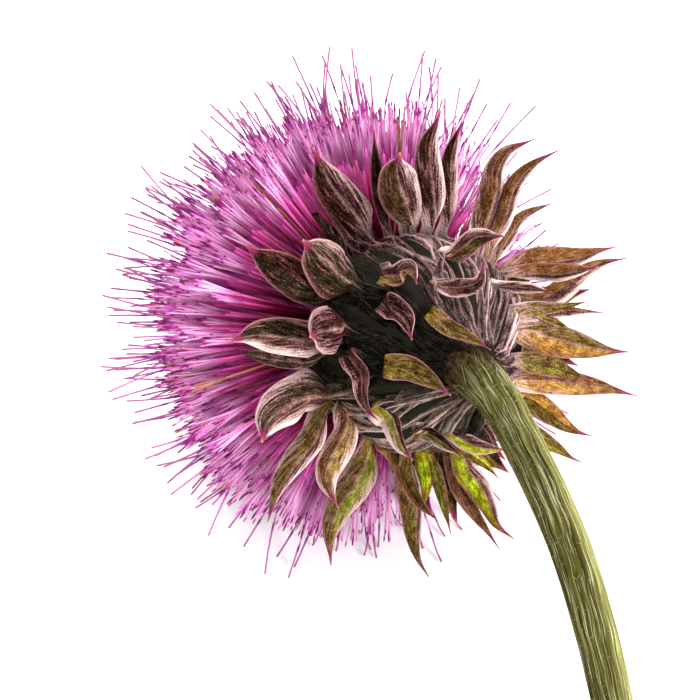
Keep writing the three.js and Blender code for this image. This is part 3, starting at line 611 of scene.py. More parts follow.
def bract_surface(place, angle, limb, halves, kind, rings, columns, seed, facing=None, foot_width=None):
    """Rings along strap and limb. A point of a ring at v from -1 to 1, with columns giving v >= 0, is
    line + across (half v) - normal (drop g(v)) + or - normal (half thickness), with
    g(v) = (sqrt(v^2 + k^2) - k) / (sqrt(1 + k^2) - k). A half that shows less falls away more: its drop is
    sqrt(real^2 - shown^2). A swell, a wavy edge and pleats come on top."""
    line, along = bract_line(place, angle, limb, kind, rings, seed)
    across, direction, neck, side_of_picture = bract_frames(line, along, angle, kind["level"], facing)
    normal = np.cross(across, direction)
    line = line - 0.4 * neck * outward(angle)

    shown = np.array(halves) * PIXEL_SIZE
    real = 1.12 * shown.max()
    drops = np.sqrt(real**2 - shown**2)
    if side_of_picture < 0:
        shown, drops = shown[::-1], drops[::-1]
    widths = kind["widths"]
    if foot_width is not None:
        widths = [foot_width, 0.4 * foot_width + 0.6] + widths[2:]
    outline = np.interp(along, LIMB_PLACES, widths)
    outline = np.convolve(np.pad(outline, 2, mode="edge"), [0.1, 0.25, 0.3, 0.25, 0.1], mode="valid")
    limb_share = smooth_step(along, *kind["begins"])[:, None]
    strap_share = (1 - limb_share) * (1 - neck)
    girth = head_place(line)[0] / BOWL_OUTLINE[:, 0].max()
    claw = CLAW_HALF_WIDTH * (0.75 + 0.6 * draw(seed, 26)) * (0.35 + 0.65 * np.minimum(girth, 1))[:, None]
    claw = claw * (1 - 0.7 * neck)
    half = claw * (1 - limb_share) + shown * outline[:, None] * limb_share
    half = np.maximum(half, 0.05 + 0.1 * (1 - np.clip(along, 0, 1))[:, None])
    drop = strap_share + drops * outline[:, None] * limb_share

    v = np.concatenate([columns[::-1], -columns[1:]])
    face = np.repeat([1.0, -1.0], len(v))[None]
    v = np.concatenate([v, v[::-1]])[None]
    half_at = np.where(v > 0, half[:, 1:], half[:, :1])
    drop_at = np.where(v > 0, drop[:, 1:], drop[:, :1])
    ridge = np.sqrt(v**2 + KEEL_ROUNDNESS**2) - KEEL_ROUNDNESS
    ridge = ridge / (math.hypot(1, KEEL_ROUNDNESS) - KEEL_ROUNDNESS)
    ridge = v**2 * (1 - limb_share) + ridge * limb_share
    swell = 0.14 * half_at * np.sin(math.pi * np.abs(v)) * limb_share
    waves = np.sin(2 * math.pi * (2.3 * along[:, None] + draw(seed, 22)) + 2 * v)
    wave = 0.09 * half_at * v**4 * waves * limb_share
    pleats = (0.13 * strap_share + 0.03) * np.cos(3 * math.pi * v) * (1 - v**2)
    thick = np.minimum(FULL_THICKNESS / 2, half_at * 0.8) * (0.42 + 0.58 * (1 - v**2))
    height = swell + wave + pleats - drop_at * ridge + face * thick
    points = line[:, None] + across[:, None] * (half_at * v)[..., None] + normal[:, None] * height[..., None]
    length = arc_length(line)
    from_foot = np.maximum(length - length[along >= 0][0], 0)[:, None]
    slant = VEIN_SLANT * from_foot * np.sign(v) * smooth_step(np.abs(v), 0, 0.1)
    skin = np.stack([np.broadcast_to(length[:, None], height.shape) + 30 * seed, real * v - slant], -1)
    coloured = smooth_step(along, *kind["colours"])[:, None]
    build = np.broadcast_arrays(along[:, None], v * side_of_picture, outline[:, None], coloured)
    return points, skin, np.stack(build, -1)


# %% The bracts that show
BARK, MOSS, RUST, UMBER = linear("4a2c20"), linear("443c2a"), linear("a8784a"), linear("6a5434")
OLIVE, PLUM, ROSE, SLATE = linear("8e7c3e"), linear("4e2e30"), linear("76504a"), linear("5a4e3e")
GOLD, LIME, FERN, GREEN = linear("d0a24c"), linear("cce632"), linear("98a636"), linear("4e9a3e")
NEAR, FAR = True, False
SEEN_RINGS = 42


def bract(keel, reach, sides, tones, pale, nearer=NEAR, kind=LEAF, foot=None):
    """One bract: its keel's pixels, its length in millimetres, and the pixels, tone and bloom of its halves,
    whose tone and bloom hold painted light and shade as well as the half's own colour.
    Some lean away from the eye, some are blunt, and some have a foot of their own width."""
    return dict(keel=keel, reach=reach, sides=sides, tones=tones, pale=pale,
                nearer=nearer, kind=kind, foot=foot)


BRACTS_SEEN = [
    bract([(374, 246), (360, 222), (345, 203), (330, 183), (313, 148)], 16, (21, 19), (BARK, PLUM),
          (0.1, 0.5), foot=1.1),
    bract([(392, 240), (381, 205), (377, 175), (375, 150), (374, 127)], 15, (7, 7), (BARK, BARK), (0.0, 0.1)),
    bract([(412, 238), (413, 222), (407, 205), (401, 188), (397, 170), (400, 153)], 13.5, (24, 20),
          (UMBER, PLUM), (0.15, 0.75)),
    bract([(428, 240), (434, 222), (435, 205), (433, 185), (430, 160), (431, 140), (441, 111)], 17, (18, 12),
          (BARK, PLUM), (0.25, 0.8)),
    bract([(444, 238), (450, 218), (451, 195), (451, 170), (453, 150), (463, 118)], 16, (12, 7),
          (BARK, ROSE), (0.1, 0.8)),
    bract([(486, 236), (491, 212), (497, 190), (499, 170), (510, 152), (535, 139)], 16, (19, 7),
          (0.6 * RUST, ROSE), (0.35, 0.95)),
    bract([(500, 240), (507, 213), (513, 192), (522, 177), (538, 162), (561, 149)], 16, (13, 8),
          (0.8 * RUST, ROSE), (0.1, 0.9), FAR),
    bract([(503, 252), (511, 235), (519, 222), (532, 212), (555, 202)], 12, (9, 6), (0.8 * RUST, ROSE),
          (0.4, 0.9), FAR),
    bract([(434, 254), (450, 256), (463, 247), (478, 237), (505, 236)], 11, (10, 12), (ROSE, UMBER),
          (0.6, 0.15)),
    bract([(430, 289), (450, 287), (468, 286), (480, 279), (484, 259)], 10, (9, 10), (ROSE, ROSE),
          (0.5, 0.55)),
    bract([(484, 284), (497, 285), (512, 287), (530, 288), (552, 292)], 10.5, (6, 6), (ROSE, ROSE),
          (0.8, 0.75)),
    bract([(508, 272), (530, 265), (555, 262), (580, 258), (600, 251), (617, 247)], 16, (17, 10),
          (RUST, ROSE), (0.1, 0.8), FAR),
    bract([(509, 268), (535, 274), (555, 275), (575, 272), (598, 267)], 13.5, (12, 7), (RUST, ROSE),
          (0.0, 0.9)),
    bract([(508, 296), (530, 299), (550, 295), (568, 283), (585, 270), (603, 262), (628, 258)], 17, (10, 14),
          (GOLD, ROSE), (0.0, 0.8), FAR),
    bract([(509, 312), (525, 307), (542, 307), (560, 307), (590, 301)], 11.5, (6, 7), (OLIVE, OLIVE),
          (0.4, 0.4), FAR),
    bract([(509, 318), (535, 316), (565, 311), (585, 311), (607, 313)], 14, (5, 7), (RUST, ROSE), (0.4, 0.8),
          FAR),
    bract([(508, 322), (530, 315), (552, 325), (568, 334), (577, 341), (585, 351)], 12, (9, 6),
          (OLIVE, ROSE), (0.0, 0.7), FAR),
    bract([(508, 332), (530, 332), (555, 339), (580, 345), (605, 350), (629, 352)], 17, (16, 18),
          (OLIVE, GOLD), (0.3, 0.1), FAR, foot=0.6),
    bract([(506, 360), (530, 362), (555, 368), (578, 376), (593, 381)], 13, (11, 11),
          (OLIVE, 0.5 * (OLIVE + FERN)), (0.0, 0.1), FAR),
    bract([(505, 379), (530, 380), (555, 381), (580, 384), (605, 388), (638, 396)], 18, (13, 14),
          (RUST, GOLD), (0.0, 0.35), FAR, foot=0.6),
    bract([(505, 395), (527, 398), (548, 412), (565, 425), (578, 432), (592, 436)], 14, (12, 12),
          (GOLD, OLIVE), (0.0, 0.0), FAR),
    bract([(500, 420), (525, 430), (545, 441), (560, 450), (572, 458), (583, 463)], 14, (10, 10),
          (OLIVE, FERN), (0.0, 0.0), FAR),
    bract([(448, 428), (462, 440), (478, 447), (492, 449), (508, 450)], 9.5, (9, 9), (ROSE, LIME),
          (0.6, 0.5), FAR),
    bract([(450, 436), (460, 448), (473, 456), (487, 466), (499, 479)], 10, (6, 6), (LIME, OLIVE),
          (0.1, 0.0), FAR),
    bract([(461, 452), (468, 468), (480, 485), (490, 505), (498, 525), (514, 539)], 14.5, (10, 16),
          (ROSE, LIME), (0.9, 0.0), FAR),
    bract([(450, 455), (457, 482), (466, 500), (478, 518), (488, 532), (500, 550)], 15, (8, 9), (RUST, RUST),
          (0.3, 0.4), FAR),
    bract([(428, 450), (435, 468), (441, 490), (446, 512), (451, 535)], 12, (6, 7), (OLIVE, FERN),
          (0.1, 0.1), FAR),
    bract([(448, 440), (452, 458), (454, 475), (456, 494)], 9, (7, 7), (GREEN, GREEN), (0.0, 0.1), FAR),
    bract([(410, 448), (414, 480), (417, 512), (417, 540), (420, 560), (429, 577)], 17, (6, 18),
          (ROSE, OLIVE), (0.8, 0.1), FAR),
    bract([(420, 446), (424, 468), (426, 485), (424, 510)], 9, (8, 9), (LIME, LIME), (0.0, 0.0), FAR),
    bract([(374, 440), (389, 452), (400, 468), (410, 490), (421, 506), (438, 521)], 14, (9, 7),
          (OLIVE, RUST), (0.2, 0.2)),
    bract([(372, 436), (366, 464), (354, 486), (339, 508), (330, 535), (331, 565)], 18, (17, 18),
          (FERN, OLIVE), (0.6, 0.45), FAR),
    bract([(345, 402), (347, 424), (338, 445), (328, 464), (326, 482), (338, 508)], 14.5, (17, 12),
          (1.4 * OLIVE, 0.7 * RUST), (0.75, 0.6)),
    bract([(332, 404), (316, 440), (298, 463), (284, 482), (275, 500), (268, 522)], 18, (9, 18),
          (ROSE, OLIVE), (0.9, 0.5), FAR, foot=0.6),
    bract([(334, 392), (315, 397), (298, 402), (280, 411), (268, 423), (262, 442)], 13, (19, 27),
          (ROSE, SLATE), (1.0, 0.6), kind=BLUNT),
    bract([(330, 394), (300, 408), (262, 418), (240, 424), (222, 438)], 16.5, (4, 6), (ROSE, SLATE),
          (0.8, 0.3), FAR),
    bract([(330, 352), (312, 361), (290, 362), (262, 358), (233, 349)], 13.5, (7, 12), (SLATE, SLATE),
          (0.3, 0.3), FAR),
    bract([(334, 342), (312, 341), (285, 338), (257, 335), (228, 341)], 14.5, (17, 20), (ROSE, MOSS),
          (0.9, 0.15), foot=0.85),
    bract([(334, 298), (308, 288), (283, 272), (262, 258), (244, 244)], 14, (18, 20), (MOSS, BARK),
          (0.0, 0.0), foot=0.9),
    bract([(345, 262), (333, 240), (320, 222), (305, 205)], 10, (10, 10), (MOSS, MOSS), (0.0, 0.05), FAR,
          foot=0.9),
    bract([(358, 288), (346, 280), (326, 262), (303, 240)], 11, (27, 21), (MOSS, SLATE), (0.15, 0.5),
          kind=BLUNT),
    bract([(352, 328), (340, 329), (324, 331), (310, 337)], 9, (23, 24), (PLUM, PLUM), (0.45, 0.3),
          kind=BLUNT),
    bract([(386, 285), (397, 276), (408, 269), (413, 274), (417, 284)], 7, (13, 9), (ROSE, OLIVE),
          (0.5, 0.1), kind=BLUNT),
    bract([(388, 309), (396, 313), (405, 322), (412, 340)], 7.5, (15, 11), (PLUM, PLUM), (0.3, 0.3),
          kind=BLUNT),
    bract([(434, 320), (448, 327), (463, 334), (478, 342), (491, 350)], 8.5, (9, 9), (OLIVE, OLIVE),
          (0.0, 0.1), kind=BLUNT),
    bract([(357, 352), (361, 374), (362, 394), (368, 410), (379, 421)], 9.5, (8, 11), (ROSE, PLUM),
          (0.2, 0.3), kind=BLUNT),
    bract([(393, 365), (407, 368), (422, 375), (436, 384), (451, 396)], 9, (13, 13), (OLIVE, OLIVE),
          (0.0, 0.1), kind=BLUNT),
    bract([(382, 399), (391, 415), (397, 431), (403, 447), (413, 460)], 10, (5, 14), (BARK, FERN),
          (0.1, 0.9), kind=BLUNT),
    bract([(414, 427), (428, 433), (441, 441), (452, 449), (462, 456)], 8.5, (6, 8), (BARK, FERN),
          (0.1, 0.8), foot=0.8),
]


def seen_bract(spec):
    """Place and angle of the foot, and the points of the limb after it."""
    place, angle = foot_seen(spec["keel"][0])
    foot = head_point(bowl_radius(place) + LEAF["lift"], place, angle)
    return place, angle, limb_through(spec["keel"], foot, angle, spec["reach"], spec["nearer"])


seen = []
for number, spec in enumerate(BRACTS_SEEN):
    seen.append(bract_surface(*seen_bract(spec), spec["sides"], spec["kind"], SEEN_RINGS, FINE_COLUMNS,
                              number, foot_width=spec["foot"]))
print(f"{len(seen)} bracts stand where the photograph shows them")

# %% The bracts that hide: an inner ring against the florets, and the bowl's far side
INNER_COUNT = 18
FAR_SIDE_COUNT = 14
INNER_SEED = 60
FAR_SIDE_SEED = 90
HIDDEN_RINGS = 28


def curve_through(foot, bend, tip):
    """Five points of the quadratic curve (1 - t)^2 foot + 2 t (1 - t) bend + t^2 tip."""
    t = np.array([0.2, 0.4, 0.6, 0.8, 1])[:, None]
    return (1 - t) ** 2 * foot + 2 * t * (1 - t) * bend + t**2 * tip


def inner_bract(index):
    """Foot near the mouth, tip laid out under the florets, one golden angle on from the last."""
    angle = index * GOLDEN_ANGLE
    place = -6 - 2.5 * draw(index, 5)
    tip_angle = angle + 0.25 * (draw(index, 8) - 0.5)
    tip = head_point(11.6 + 1.0 * draw(index, 6), -3.9 + 0.5 * draw(index, 7), tip_angle)
    foot = head_point(bowl_radius(place) + LEAF["lift"], place, angle)
    return place, angle, curve_through(foot, head_point(11.9, -5.2, angle), tip)


def far_side_bract(index):
    """Two rows of feet by turns, spread evenly over the angles that the photograph hides."""
    angle = math.radians(130 + 118 * (index + 0.5) / FAR_SIDE_COUNT)
    outer = index % 2 == 1
    place = (-13 if outer else -9) + 1.5 * (draw(index, 9) - 0.5)
    reach = (22 if outer else 23) + 2 * draw(index, 10)
    tip_place = (-14 if outer else -9.5) + 2 * (draw(index, 11) - 0.5)
    tip = head_point(reach, tip_place, angle + 0.2 * (draw(index, 12) - 0.5))
    foot = head_point(bowl_radius(place) + LEAF["lift"], place, angle)
    return place, angle, curve_through(foot, head_point(17, place + 1.5, angle), tip)


def hidden_bract(path, half, seed):
    """A plainer surface along a path that a rule gives, with its keel on the stem's side."""
    return bract_surface(*path, (half, half), LEAF, HIDDEN_RINGS, FEW_COLUMNS, seed, -AXIS)


hidden = [hidden_bract(inner_bract(index), 10, INNER_SEED + index) for index in range(INNER_COUNT)]
hidden += [hidden_bract(far_side_bract(index), 17, FAR_SIDE_SEED + index) for index in range(FAR_SIDE_COUNT)]
print(f"{len(hidden)} bracts stand where it shows none")

# %% [markdown]
# A bract changes along its length and across it: a strap with painted highlights on its pleats where light
# falls and painted shade elsewhere, a painted golden glow at the foot, a rusty end, a keel line that is a
# painted highlight on bracts with bloom and painted shade on the rest, and a pale rim, paler where light is
# painted.
# What follows from a point's place is stored on the mesh as three colours and a vector. The material adds
# fibres, grain and blotches, and frays the rim with them.

# %% Colours of the bracts, and their meshes
def bract_colour(tree):
    """Fibres and grain between dark and light of the bract's tone, pale bloom that carries painted light, a
    pale rim, and a spine.
    """
    build = add_node(tree, "ShaderNodeSeparateXYZ", {0: stored(tree, "build", "Vector")}).outputs
    veil = add_node(tree, "ShaderNodeSeparateColor", {"Color": stored(tree, "veil")}).outputs
    tone, rim, grain = stored(tree, "tone"), stored(tree, "rim"), grain_of(tree, 5200)
    dark = mixed(tree, 1.0, tone, mixed(tree, build["Z"], "6e584a", "c0ae94"), "MULTIPLY")
    skin = mixed(tree, streaks(tree, 0.7, 3.2, 0.4, 0.58), dark, tone)
    grit = mixed(tree, build["Z"], "8c8076", "bcb4aa")
    skin = mixed(tree, 1.0, skin, mixed(tree, ramp(tree, grain, 0.38, 0.56), grit, "ffffff"), "MULTIPLY")
    blotch = mixed(tree, ramp(tree, grain_of(tree, 900), 0.38, 0.6), "c0b4a8", "ffffff")
    skin = mixed(tree, 1.0, skin, blotch, "MULTIPLY")
    fuzz = ramp(tree, grain_of(tree, 6400), 0.3, 0.7)
    veins = mixed(tree, 0.4, streaks(tree, 0.3, 2.4, 0.36, 0.64), fuzz)
    bloom = worked(tree, "ADD", veins, veil["Red"])
    skin = mixed(tree, ramp(tree, bloom, 0.9, 1.3, 0.9), skin, rim)
    ragged = worked(tree, "MULTIPLY_ADD", grain, 0.16, worked(tree, "ABSOLUTE", build["Y"]))
    skin = mixed(tree, ramp(tree, ragged, 0.9, 1.04, 0.35), skin, rim)
    skin = mixed(tree, ramp(tree, ragged, 1.02, 1.05, 0.7), skin, rim)
    skin = mixed(tree, veil["Green"], skin, "a83a6a")
    return mixed(tree, veil["Blue"], skin, "d8b27a")


# Angles round the head's axis of the two sides where light is painted on the bracts.
LIT_ANGLE = math.radians(125)
SECOND_LIGHT_ANGLE = math.radians(278)
# Strap colours: a dark ground that stands for painted shade where unlit, and two painted highlights.
STRAP_SHADED_GROUND, STRAP_HIGHLIGHT, STRAP_SECOND_HIGHLIGHT = linear("2a2a24"), linear("ffd8ea"), linear("fff4dc")
# The colour of a painted glow, as of light passing through the bracts' feet.
PAINTED_GLOW = linear("e8bc28")
# The grey is the straps' rim in painted shade.
RIM_PINK, RIM_WHITE, RIM_IN_SHADE = linear("b87a7c"), linear("f8e0d8"), linear("4a483c")


def bract_paint(build, points, tones, pale, number):
    """Each point's tone with its painted light and shade, its rim's colour, its veil (bloom with painted
    light in it, spine and straw), and along, side and calm.
    """
    along, side, limb = build[..., 0], build[..., 1], build[..., 3]
    off_keel = np.abs(side)
    # Each half of the fold takes its own tone and bloom, which carry painted light and shade as well as its
    # colour.
    right = smooth_step(side, -0.05, 0.05)
    tone = shaded(tones[0], tones[1], right)
    bloom = pale[0] + (pale[1] - pale[0]) * right

    angle = head_place(points)[2]
    # Painted light: 1 on the side of the head where light falls, 0 on the far side.
    lit = smooth_step(np.cos(angle - LIT_ANGLE), -0.35, 0.55)
    # Painted glow: yellowish tones near the foot turn golden as if lit through, less on the side where light
    # is painted.
    golden = 0.7 * smooth_step(tone[..., 1], 0.12, 0.35) * (1 - smooth_step(along, 0.02, 0.2))
    tone = shaded(tone, PAINTED_GLOW, golden * (1 - 0.8 * lit))
    rusty = np.clip(0.65 * smooth_step(off_keel, 0.4, 1.0) + 0.75 * smooth_step(along, 0.45, 0.9), 0, 1)
    tone = shaded(tone, np.minimum(tone, RUST * 1.1), rusty)
    # The keel line shows the fold: a pale painted highlight on bracts with bloom, painted shade on the rest.
    keel = 1 - smooth_step(off_keel, 0.0, 0.1)
    if max(pale) > 0.25:
        tone = shaded(tone, RIM_PINK + 0.5 * (RIM_WHITE - RIM_PINK), 0.75 * keel)
    else:
        tone = tone * (1 - 0.6 * keel[..., None])

    # Painted light on a second, narrower side of the head.
    low = smooth_step(np.cos(angle - SECOND_LIGHT_ANGLE), 0.7, 0.97)
    own = (0.4 + 0.9 * draw(number, 25)) * (0.7 + 0.3 * smooth_step(along, -0.38, -0.1))
    # Where the painted highlight falls across each strap: its middle, its pleat crests and its edges.
    ridge = 0.85 * (1 - side**2) * (0.55 + 0.45 * np.cos(3 * math.pi * side))
    ridge = ridge + 0.8 * smooth_step(off_keel, 0.7, 0.9)
    # The strap is painted dark as shade and pale where light is painted.
    strap = shaded(STRAP_SHADED_GROUND, STRAP_HIGHLIGHT, lit * ridge * own)
    strap = shaded(strap, STRAP_SECOND_HIGHLIGHT, low * ridge * own)
    tone = shaded(strap, tone, limb)

    # Painted light: extra bloom near the foot on the side where light falls.
    painted_light_near_foot = lit * (1 - smooth_step(along, 0.0, 0.35))
    limb_bloom_and_light = 0.22 + bloom * (0.12 + 0.56 * smooth_step(off_keel, 0.25, 0.95)) + 0.4 * painted_light_near_foot
    # The straps' bloom is mostly painted light.
    strap_bloom_and_light = 0.2 + 0.8 * np.maximum(lit, low) * ridge * own
    bloom = strap_bloom_and_light + (limb_bloom_and_light - strap_bloom_and_light) * limb
    narrow = 1 - smooth_step(build[..., 2], 0.05, 0.3)
    spine = narrow * smooth_step(along, 0.5, 0.8)
    straw = smooth_step(along, 0.95, 1.0)
    rim = shaded(RIM_PINK, RIM_WHITE, np.clip(1.5 * bloom - 0.45, 0, 1))
    from_foot = smooth_step(along, -0.02, 0.16)
    # The straps' rim is grey in painted shade and takes the rim's colour where light is painted.
    lit_strap_rim = shaded(RIM_IN_SHADE, rim, np.clip(1.3 * np.maximum(lit, low) * own, 0, 1))
    rim = shaded(lit_strap_rim, rim * (0.35 + 0.6 * from_foot)[..., None], limb)
    calm = 0.2 + 0.8 * smooth_step(tone.max(-1), 0.1, 0.5)
    veil = np.stack([bloom * (1 - spine), 0.85 * spine, 0.8 * straw], -1)
    return tone, rim, veil, np.stack([along, side, calm], -1)


BRACT_SKIN = thin_material("bract skin", bract_colour, roughness=0.55, through=0.15,
                           bump_of=lambda tree: streaks(tree, 0.35, 3.4), bump_depth=0.3)


def bract_piece(name, surfaces, tones, pales):
    """One mesh of many bracts, all with the same numbers of rings and columns."""
    points, skin, build = (np.stack(arrays) for arrays in zip(*surfaces))
    paints = [bract_paint(*of_one) for of_one in zip(build, points, tones, pales, range(len(points)))]
    tone, rim, veil, build = (np.stack(arrays) for arrays in zip(*paints))
    piece = make_piece(name, points, loft_faces(*points.shape[:3]), BRACT_SKIN, uv=skin,
                       colours={"tone": tone, "rim": rim, "veil": veil}, vectors={"build": build})
    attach(piece, "root")
    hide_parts("involucre")


bract_piece("bracts", seen, [spec["tones"] for spec in BRACTS_SEEN], [spec["pale"] for spec in BRACTS_SEEN])
# The inner ring under the florets is darkened to half its tone as painted shade.
hidden_tones = [(0.5 * MOSS, 0.5 * BARK)] * INNER_COUNT + [(MOSS, OLIVE)] * FAR_SIDE_COUNT
bract_piece("hidden_bracts", hidden, hidden_tones, [(0.1, 0.1)] * len(hidden))

# %% The bowl under the feet
def bowl_colour(tree):
    """Near-black skin, painted shade for the gaps between the bracts' feet, with paler fibres."""
    return mixed(tree, streaks(tree, 0.5, 9.0), "0a0a08", "2c2a22")


# The bowl's near-black is painted shade between the feet.
BOWL_SHADED_SKIN = thin_material("bowl skin", bowl_colour, roughness=0.6, through=0.0,
                          bump_of=lambda tree: streaks(tree, 0.4, 6.0), bump_depth=0.15)
BOWL_UNDERSIDE = [(0.1, -23.7)]
BOWL_MOUTH = [(9.6, -4.2), (7.5, -6.5), (0.1, -7.2)]
TURNED_RINGS = 40
BOWL_SIDES = 208
bowl_outline = smooth_line(np.concatenate([BOWL_UNDERSIDE, BOWL_OUTLINE, BOWL_MOUTH]), TURNED_RINGS)
bowl_ribs = 0.3 * np.cos(26 * turns(BOWL_SIDES)) * smooth_step(bowl_outline[:, :1], 2, 9)
bowl = turned_piece("bowl", bowl_outline, bowl_ribs, BOWL_SHADED_SKIN, bowl_outline[:, 1], girth=12)
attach(bowl, "root")
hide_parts("involucre")

# %% [markdown]
# Hundreds of florets stand in the bowl. Each is a thread-like tube that widens and splits into five narrow
# lobes, with a dark tube of anthers in its throat. From every third or so a long style stands out past them.
# All lines are worked out at once: a root in the bowl's mouth, a tip on the ball, and a slight bow between.

# %% The florets' lines
FLORET_COUNT = 1200
FLORET_POLAR_MAX = math.radians(93)
DROOP_ANGLE = math.radians(195)
UNDER_ANGLE = math.radians(250)
FAN_RADIUS = 8
FAN_PLACE = -2.5
COROLLA_RADIUS = 27.9
SURFACE_CLEARANCE = 0.3
ASLANT = AXIS + 0.3 * SIDE
floret = np.arange(FLORET_COUNT)
polar = np.arccos(1 - (floret + 0.5) / FLORET_COUNT * (1 - math.cos(FLORET_POLAR_MAX)))
polar = polar + 0.12 * (draw(floret, 31) - 0.5)
around = floret * GOLDEN_ANGLE + 0.14 * (draw(floret, 32) - 0.5) / np.maximum(np.sin(polar), 0.2)
polar = polar * (1 + 0.06 * np.cos(around - DROOP_ANGLE))
under = smooth_step(np.cos(around - UNDER_ANGLE), 0.5, 1)
tip_radius = COROLLA_RADIUS + 1.3 * under - 5 * draw(floret, 33) ** 1.4
tip_radius = tip_radius - 3 * (1 - smooth_step(polar, 0, 0.5))
root = head_point(FAN_RADIUS * np.sin(polar), FAN_PLACE + 0 * polar, around)
tip = head_point(tip_radius * np.sin(polar), tip_radius * np.cos(polar), around)
heading = unit(tip - root)
sway = unit(np.cross(heading, outward(around + 6.28 * draw(floret, 34))))
length_of_line = np.linalg.norm(tip - root, axis=1)


def pressed(points):
    """Points pushed up off the surface: z becomes clearance + s ln(1 + exp((z - clearance) / s))."""
    soft = 0.5
    lifted = points.copy()
    lifted[..., 2] = SURFACE_CLEARANCE + soft * np.logaddexp(0, (points[..., 2] - SURFACE_CLEARANCE) / soft)
    return lifted


def floret_line(shares, which=floret, stray=0.0):
    """Points at shares of each floret's length: root + heading share length + sway (bow sin(pi share)
    + stray (10 (share - 0.8))^1.6)."""
    shares = np.broadcast_to(shares, (len(which), np.shape(shares)[-1]))
    past = np.clip(shares - 0.8, 0, None)
    bend = 1.1 * (draw(which, 35)[:, None] - 0.5) * np.sin(math.pi * np.clip(shares, 0, 1))
    bend = bend + stray * (draw(which, 36)[:, None] - 0.5) * (past * 10) ** 1.6
    reach = (shares * length_of_line[which][:, None])[..., None]
    straight = root[which][:, None] + heading[which][:, None] * reach
    return pressed(straight + sway[which][:, None] * bend[..., None])


# %% Corolla tubes and their lobes
throat = 0.66 + 0.1 * draw(floret, 39)
tube_shares = np.stack([0.12 + 0 * throat, throat - 0.3, throat - 0.1, throat], -1)
tube_lines = floret_line(tube_shares)
floret_spin = 6.28 * draw(floret, 40)
tube_rings = tubes(tube_lines, [0.1, 0.12, 0.17, 0.14], 4, ASLANT, spin=floret_spin)
PALE, ORCHID, MAGENTA, VIOLET = linear("ffdcf8"), linear("ff86dc"), linear("a81c5a"), linear("983c88")
TAN, AMBER = linear("c0906c"), linear("d89a30")
withered = (draw(floret, 41) < 0.025)[:, None, None]
brightness = 0.85 + 0.35 * draw(floret, 42)[:, None, None]
tube_tint = np.stack([0.4 * MAGENTA, 0.8 * MAGENTA, 0.4 * MAGENTA + 0.6 * ORCHID, ORCHID])[None]
tube_tint = np.where(withered, TAN, tube_tint * brightness)

LOBES = 5
lobe = floret[:, None] * LOBES + np.arange(LOBES)
throat_line = floret_line(throat[:, None] + np.array([-0.02, 0, 0.02]))
along, across, beside = (array[:, 1] for array in ring_frames(throat_line, ASLANT))
lobe_turn = floret_spin[:, None] + turns(LOBES)
lobe_out = across[:, None] * np.cos(lobe_turn)[..., None] + beside[:, None] * np.sin(lobe_turn)[..., None]
lobe_reach = (length_of_line * (1 - throat))[:, None] * (0.7 + 0.42 * draw(lobe, 43))
lobe_flare = 0.03 + 0.13 * draw(lobe, 44)
lobe_share = np.array([-0.12, 0.45, 0.87, 0.93, 1.0])
lobe_away = 0.12 + (lobe_flare * lobe_reach)[..., None] * np.maximum(lobe_share, 0) ** 1.4
lobe_up = (lobe_reach[..., None] * lobe_share)[..., None]
lobe_lines = throat_line[:, 1][:, None, None] + along[:, None, None] * lobe_up
lobe_lines = lobe_lines + lobe_out[:, :, None] * lobe_away[..., None]
lobe_lines = pressed(lobe_lines).reshape(-1, len(lobe_share), 3)
lobe_rings = tubes(lobe_lines, [0.08, 0.13, 0.09, 0.13, 0.05], 3, ASLANT)
lobe_tint = np.stack([ORCHID, 0.3 * ORCHID + 0.7 * PALE, 0.5 * ORCHID + 0.5 * PALE, ORCHID, ORCHID])[None]
lobe_tint = np.repeat(np.where(withered, TAN, lobe_tint * brightness), LOBES, 0)
lobe_tint = lobe_tint * (0.6 + 0.55 * draw(lobe, 46)).reshape(-1, 1, 1)
tip_draw = draw(lobe, 45).ravel()
lobe_tint[tip_draw < 0.6, 3:] = VIOLET
lobe_tint[tip_draw > 0.975, 3:] = AMBER

PETAL = thin_material("petal", tinted(900, detail=3.0), roughness=0.6, through=0.7)
corollas = tinted_piece("corollas", [(tube_rings, tube_tint), (lobe_rings, lobe_tint)], PETAL)

# %% Anthers and styles
anther_lines = floret_line(np.array([0.9, 0.95, 0.98, 1.01]))
anther_rings = tubes(anther_lines, [0.08, 0.12, 0.17, 0.1], 4, ASLANT)
anther_tint = np.stack([linear(code) for code in ("f4a8e0", "b850a0", "823078", "94485c")])[None] * brightness
anthers = tinted_piece("anthers", [(anther_rings, anther_tint)], PETAL)

STYLE_REACH = 34.2
styled = floret[draw(floret, 49) < 0.36]
style_out = 1 + (STYLE_REACH - 4.4 * draw(styled, 50) - tip_radius[styled]) / length_of_line[styled]
style_shares = 0.85 + (style_out[:, None] - 0.85) * np.array([0, 0.3, 0.45, 0.53, 0.62, 0.8, 0.97, 1])
style_lines = floret_line(style_shares, styled, stray=0.45)
style_rings = tubes(style_lines, [0.09, 0.1, 0.11, 0.17, 0.14, 0.125, 0.15, 0.11], 3, ASLANT)
STYLE_CODES = ("f0b4e0", "e4a0d4", "cc7cb8", "8c4488", "b470ac", "bc74a0", "b47898", "a86a78")
style_tint = np.stack([linear(code) for code in STYLE_CODES])[None]
style_tint = style_tint * (0.8 + 0.4 * draw(styled, 52)[:, None, None])
styles = tinted_piece("styles", [(style_rings, style_tint)], PETAL)
for piece in (corollas, anthers, styles):
    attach(piece, "root")
    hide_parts("florets")

# %% [markdown]
# Lower down the tubes stand so close that no light comes through. A folded core, streaked along the florets'
# own lines, takes their place where the eye looks in between the outer ones.

# %% The packed lower parts of the florets
CORE_OUTLINE = [(0.1, -5.8), (6.5, -5.4), (9, -2.6), (12, 1.8), (16, 8), (15.8, 13), (11.5, 17.8), (5, 20.2),
                (0.1, 20.7)]
CORE_SIDES = 180


def packed_colour(tree):
    """Dark and light fibres that run up the florets."""
    return mixed(tree, streaks(tree, 0.25, 2.6), "8a1a5c", "ea84d0")


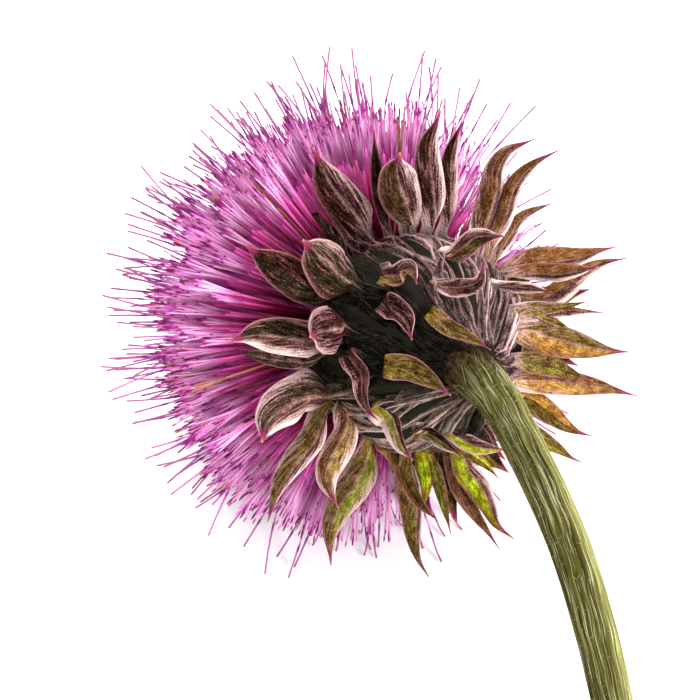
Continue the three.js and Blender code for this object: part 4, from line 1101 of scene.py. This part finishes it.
PACKED = thin_material("packed florets", packed_colour, roughness=0.7, through=0.4,
                       bump_of=lambda tree: streaks(tree, 0.3, 2.6), bump_depth=0.4)
core_outline = smooth_line(CORE_OUTLINE, TURNED_RINGS)
core_turn = turns(CORE_SIDES)
core_folds = 0.35 * np.cos(45 * core_turn + 2 * np.sin(7 * core_turn))
core_folds = core_folds * smooth_step(core_outline[:, :1], 3, 11)
core = turned_piece("floret_core", core_outline, core_folds, PACKED, arc_length(core_outline), girth=14)
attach(core, "root")
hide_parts("florets")

# %% [markdown]
# A white surface and broad soft lights give the bright, nearly shadowless light of the photograph. Light that
# the surface throws back comes up through the petals and bracts from behind, as the eye sees them.

# %% Surface and lights
def studio_surface():
    material = bpy.data.materials.new("studio surface")
    material.use_nodes = True
    face = material.node_tree.nodes["Principled BSDF"]
    face.inputs["Base Color"].default_value = (0.93, 0.93, 0.93, 1)
    face.inputs["Roughness"].default_value = 0.9
    half = 1.5
    mesh = bpy.data.meshes.new("surface")
    corners = [(-half, -half, 0), (half, -half, 0), (half, half, 0), (-half, half, 0)]
    mesh.from_pydata(corners, [], [(0, 1, 2, 3)])
    mesh.materials.append(material)
    floor = bpy.data.objects.new("surface", mesh)
    bpy.context.collection.objects.link(floor)


def area_light(name, place, size, power):
    """A white square light at a place in millimetres, turned to the ball's centre."""
    data = bpy.data.lights.new(name, "AREA")
    data.size = size * MM
    data.energy = power
    light = bpy.data.objects.new(name, data)
    light.location = np.array(place) * MM
    away = unit(np.array(place, float) - BALL_CENTRE)
    light.rotation_euler = (math.acos(away[2]), 0, math.atan2(away[1], away[0]) + math.pi / 2)
    bpy.context.collection.objects.link(light)


studio_surface()
area_light("window", (-120, 260, 420), size=400, power=4.0)
area_light("key", (300, -260, 190), size=180, power=3.4)
world = bpy.data.worlds.new("studio")
world.use_nodes = True
world.node_tree.nodes["Background"].inputs["Color"].default_value = (1, 1, 1, 1)
world.node_tree.nodes["Background"].inputs["Strength"].default_value = 1.0
bpy.context.scene.world = world
bpy.context.scene.view_settings.view_transform = "Standard"
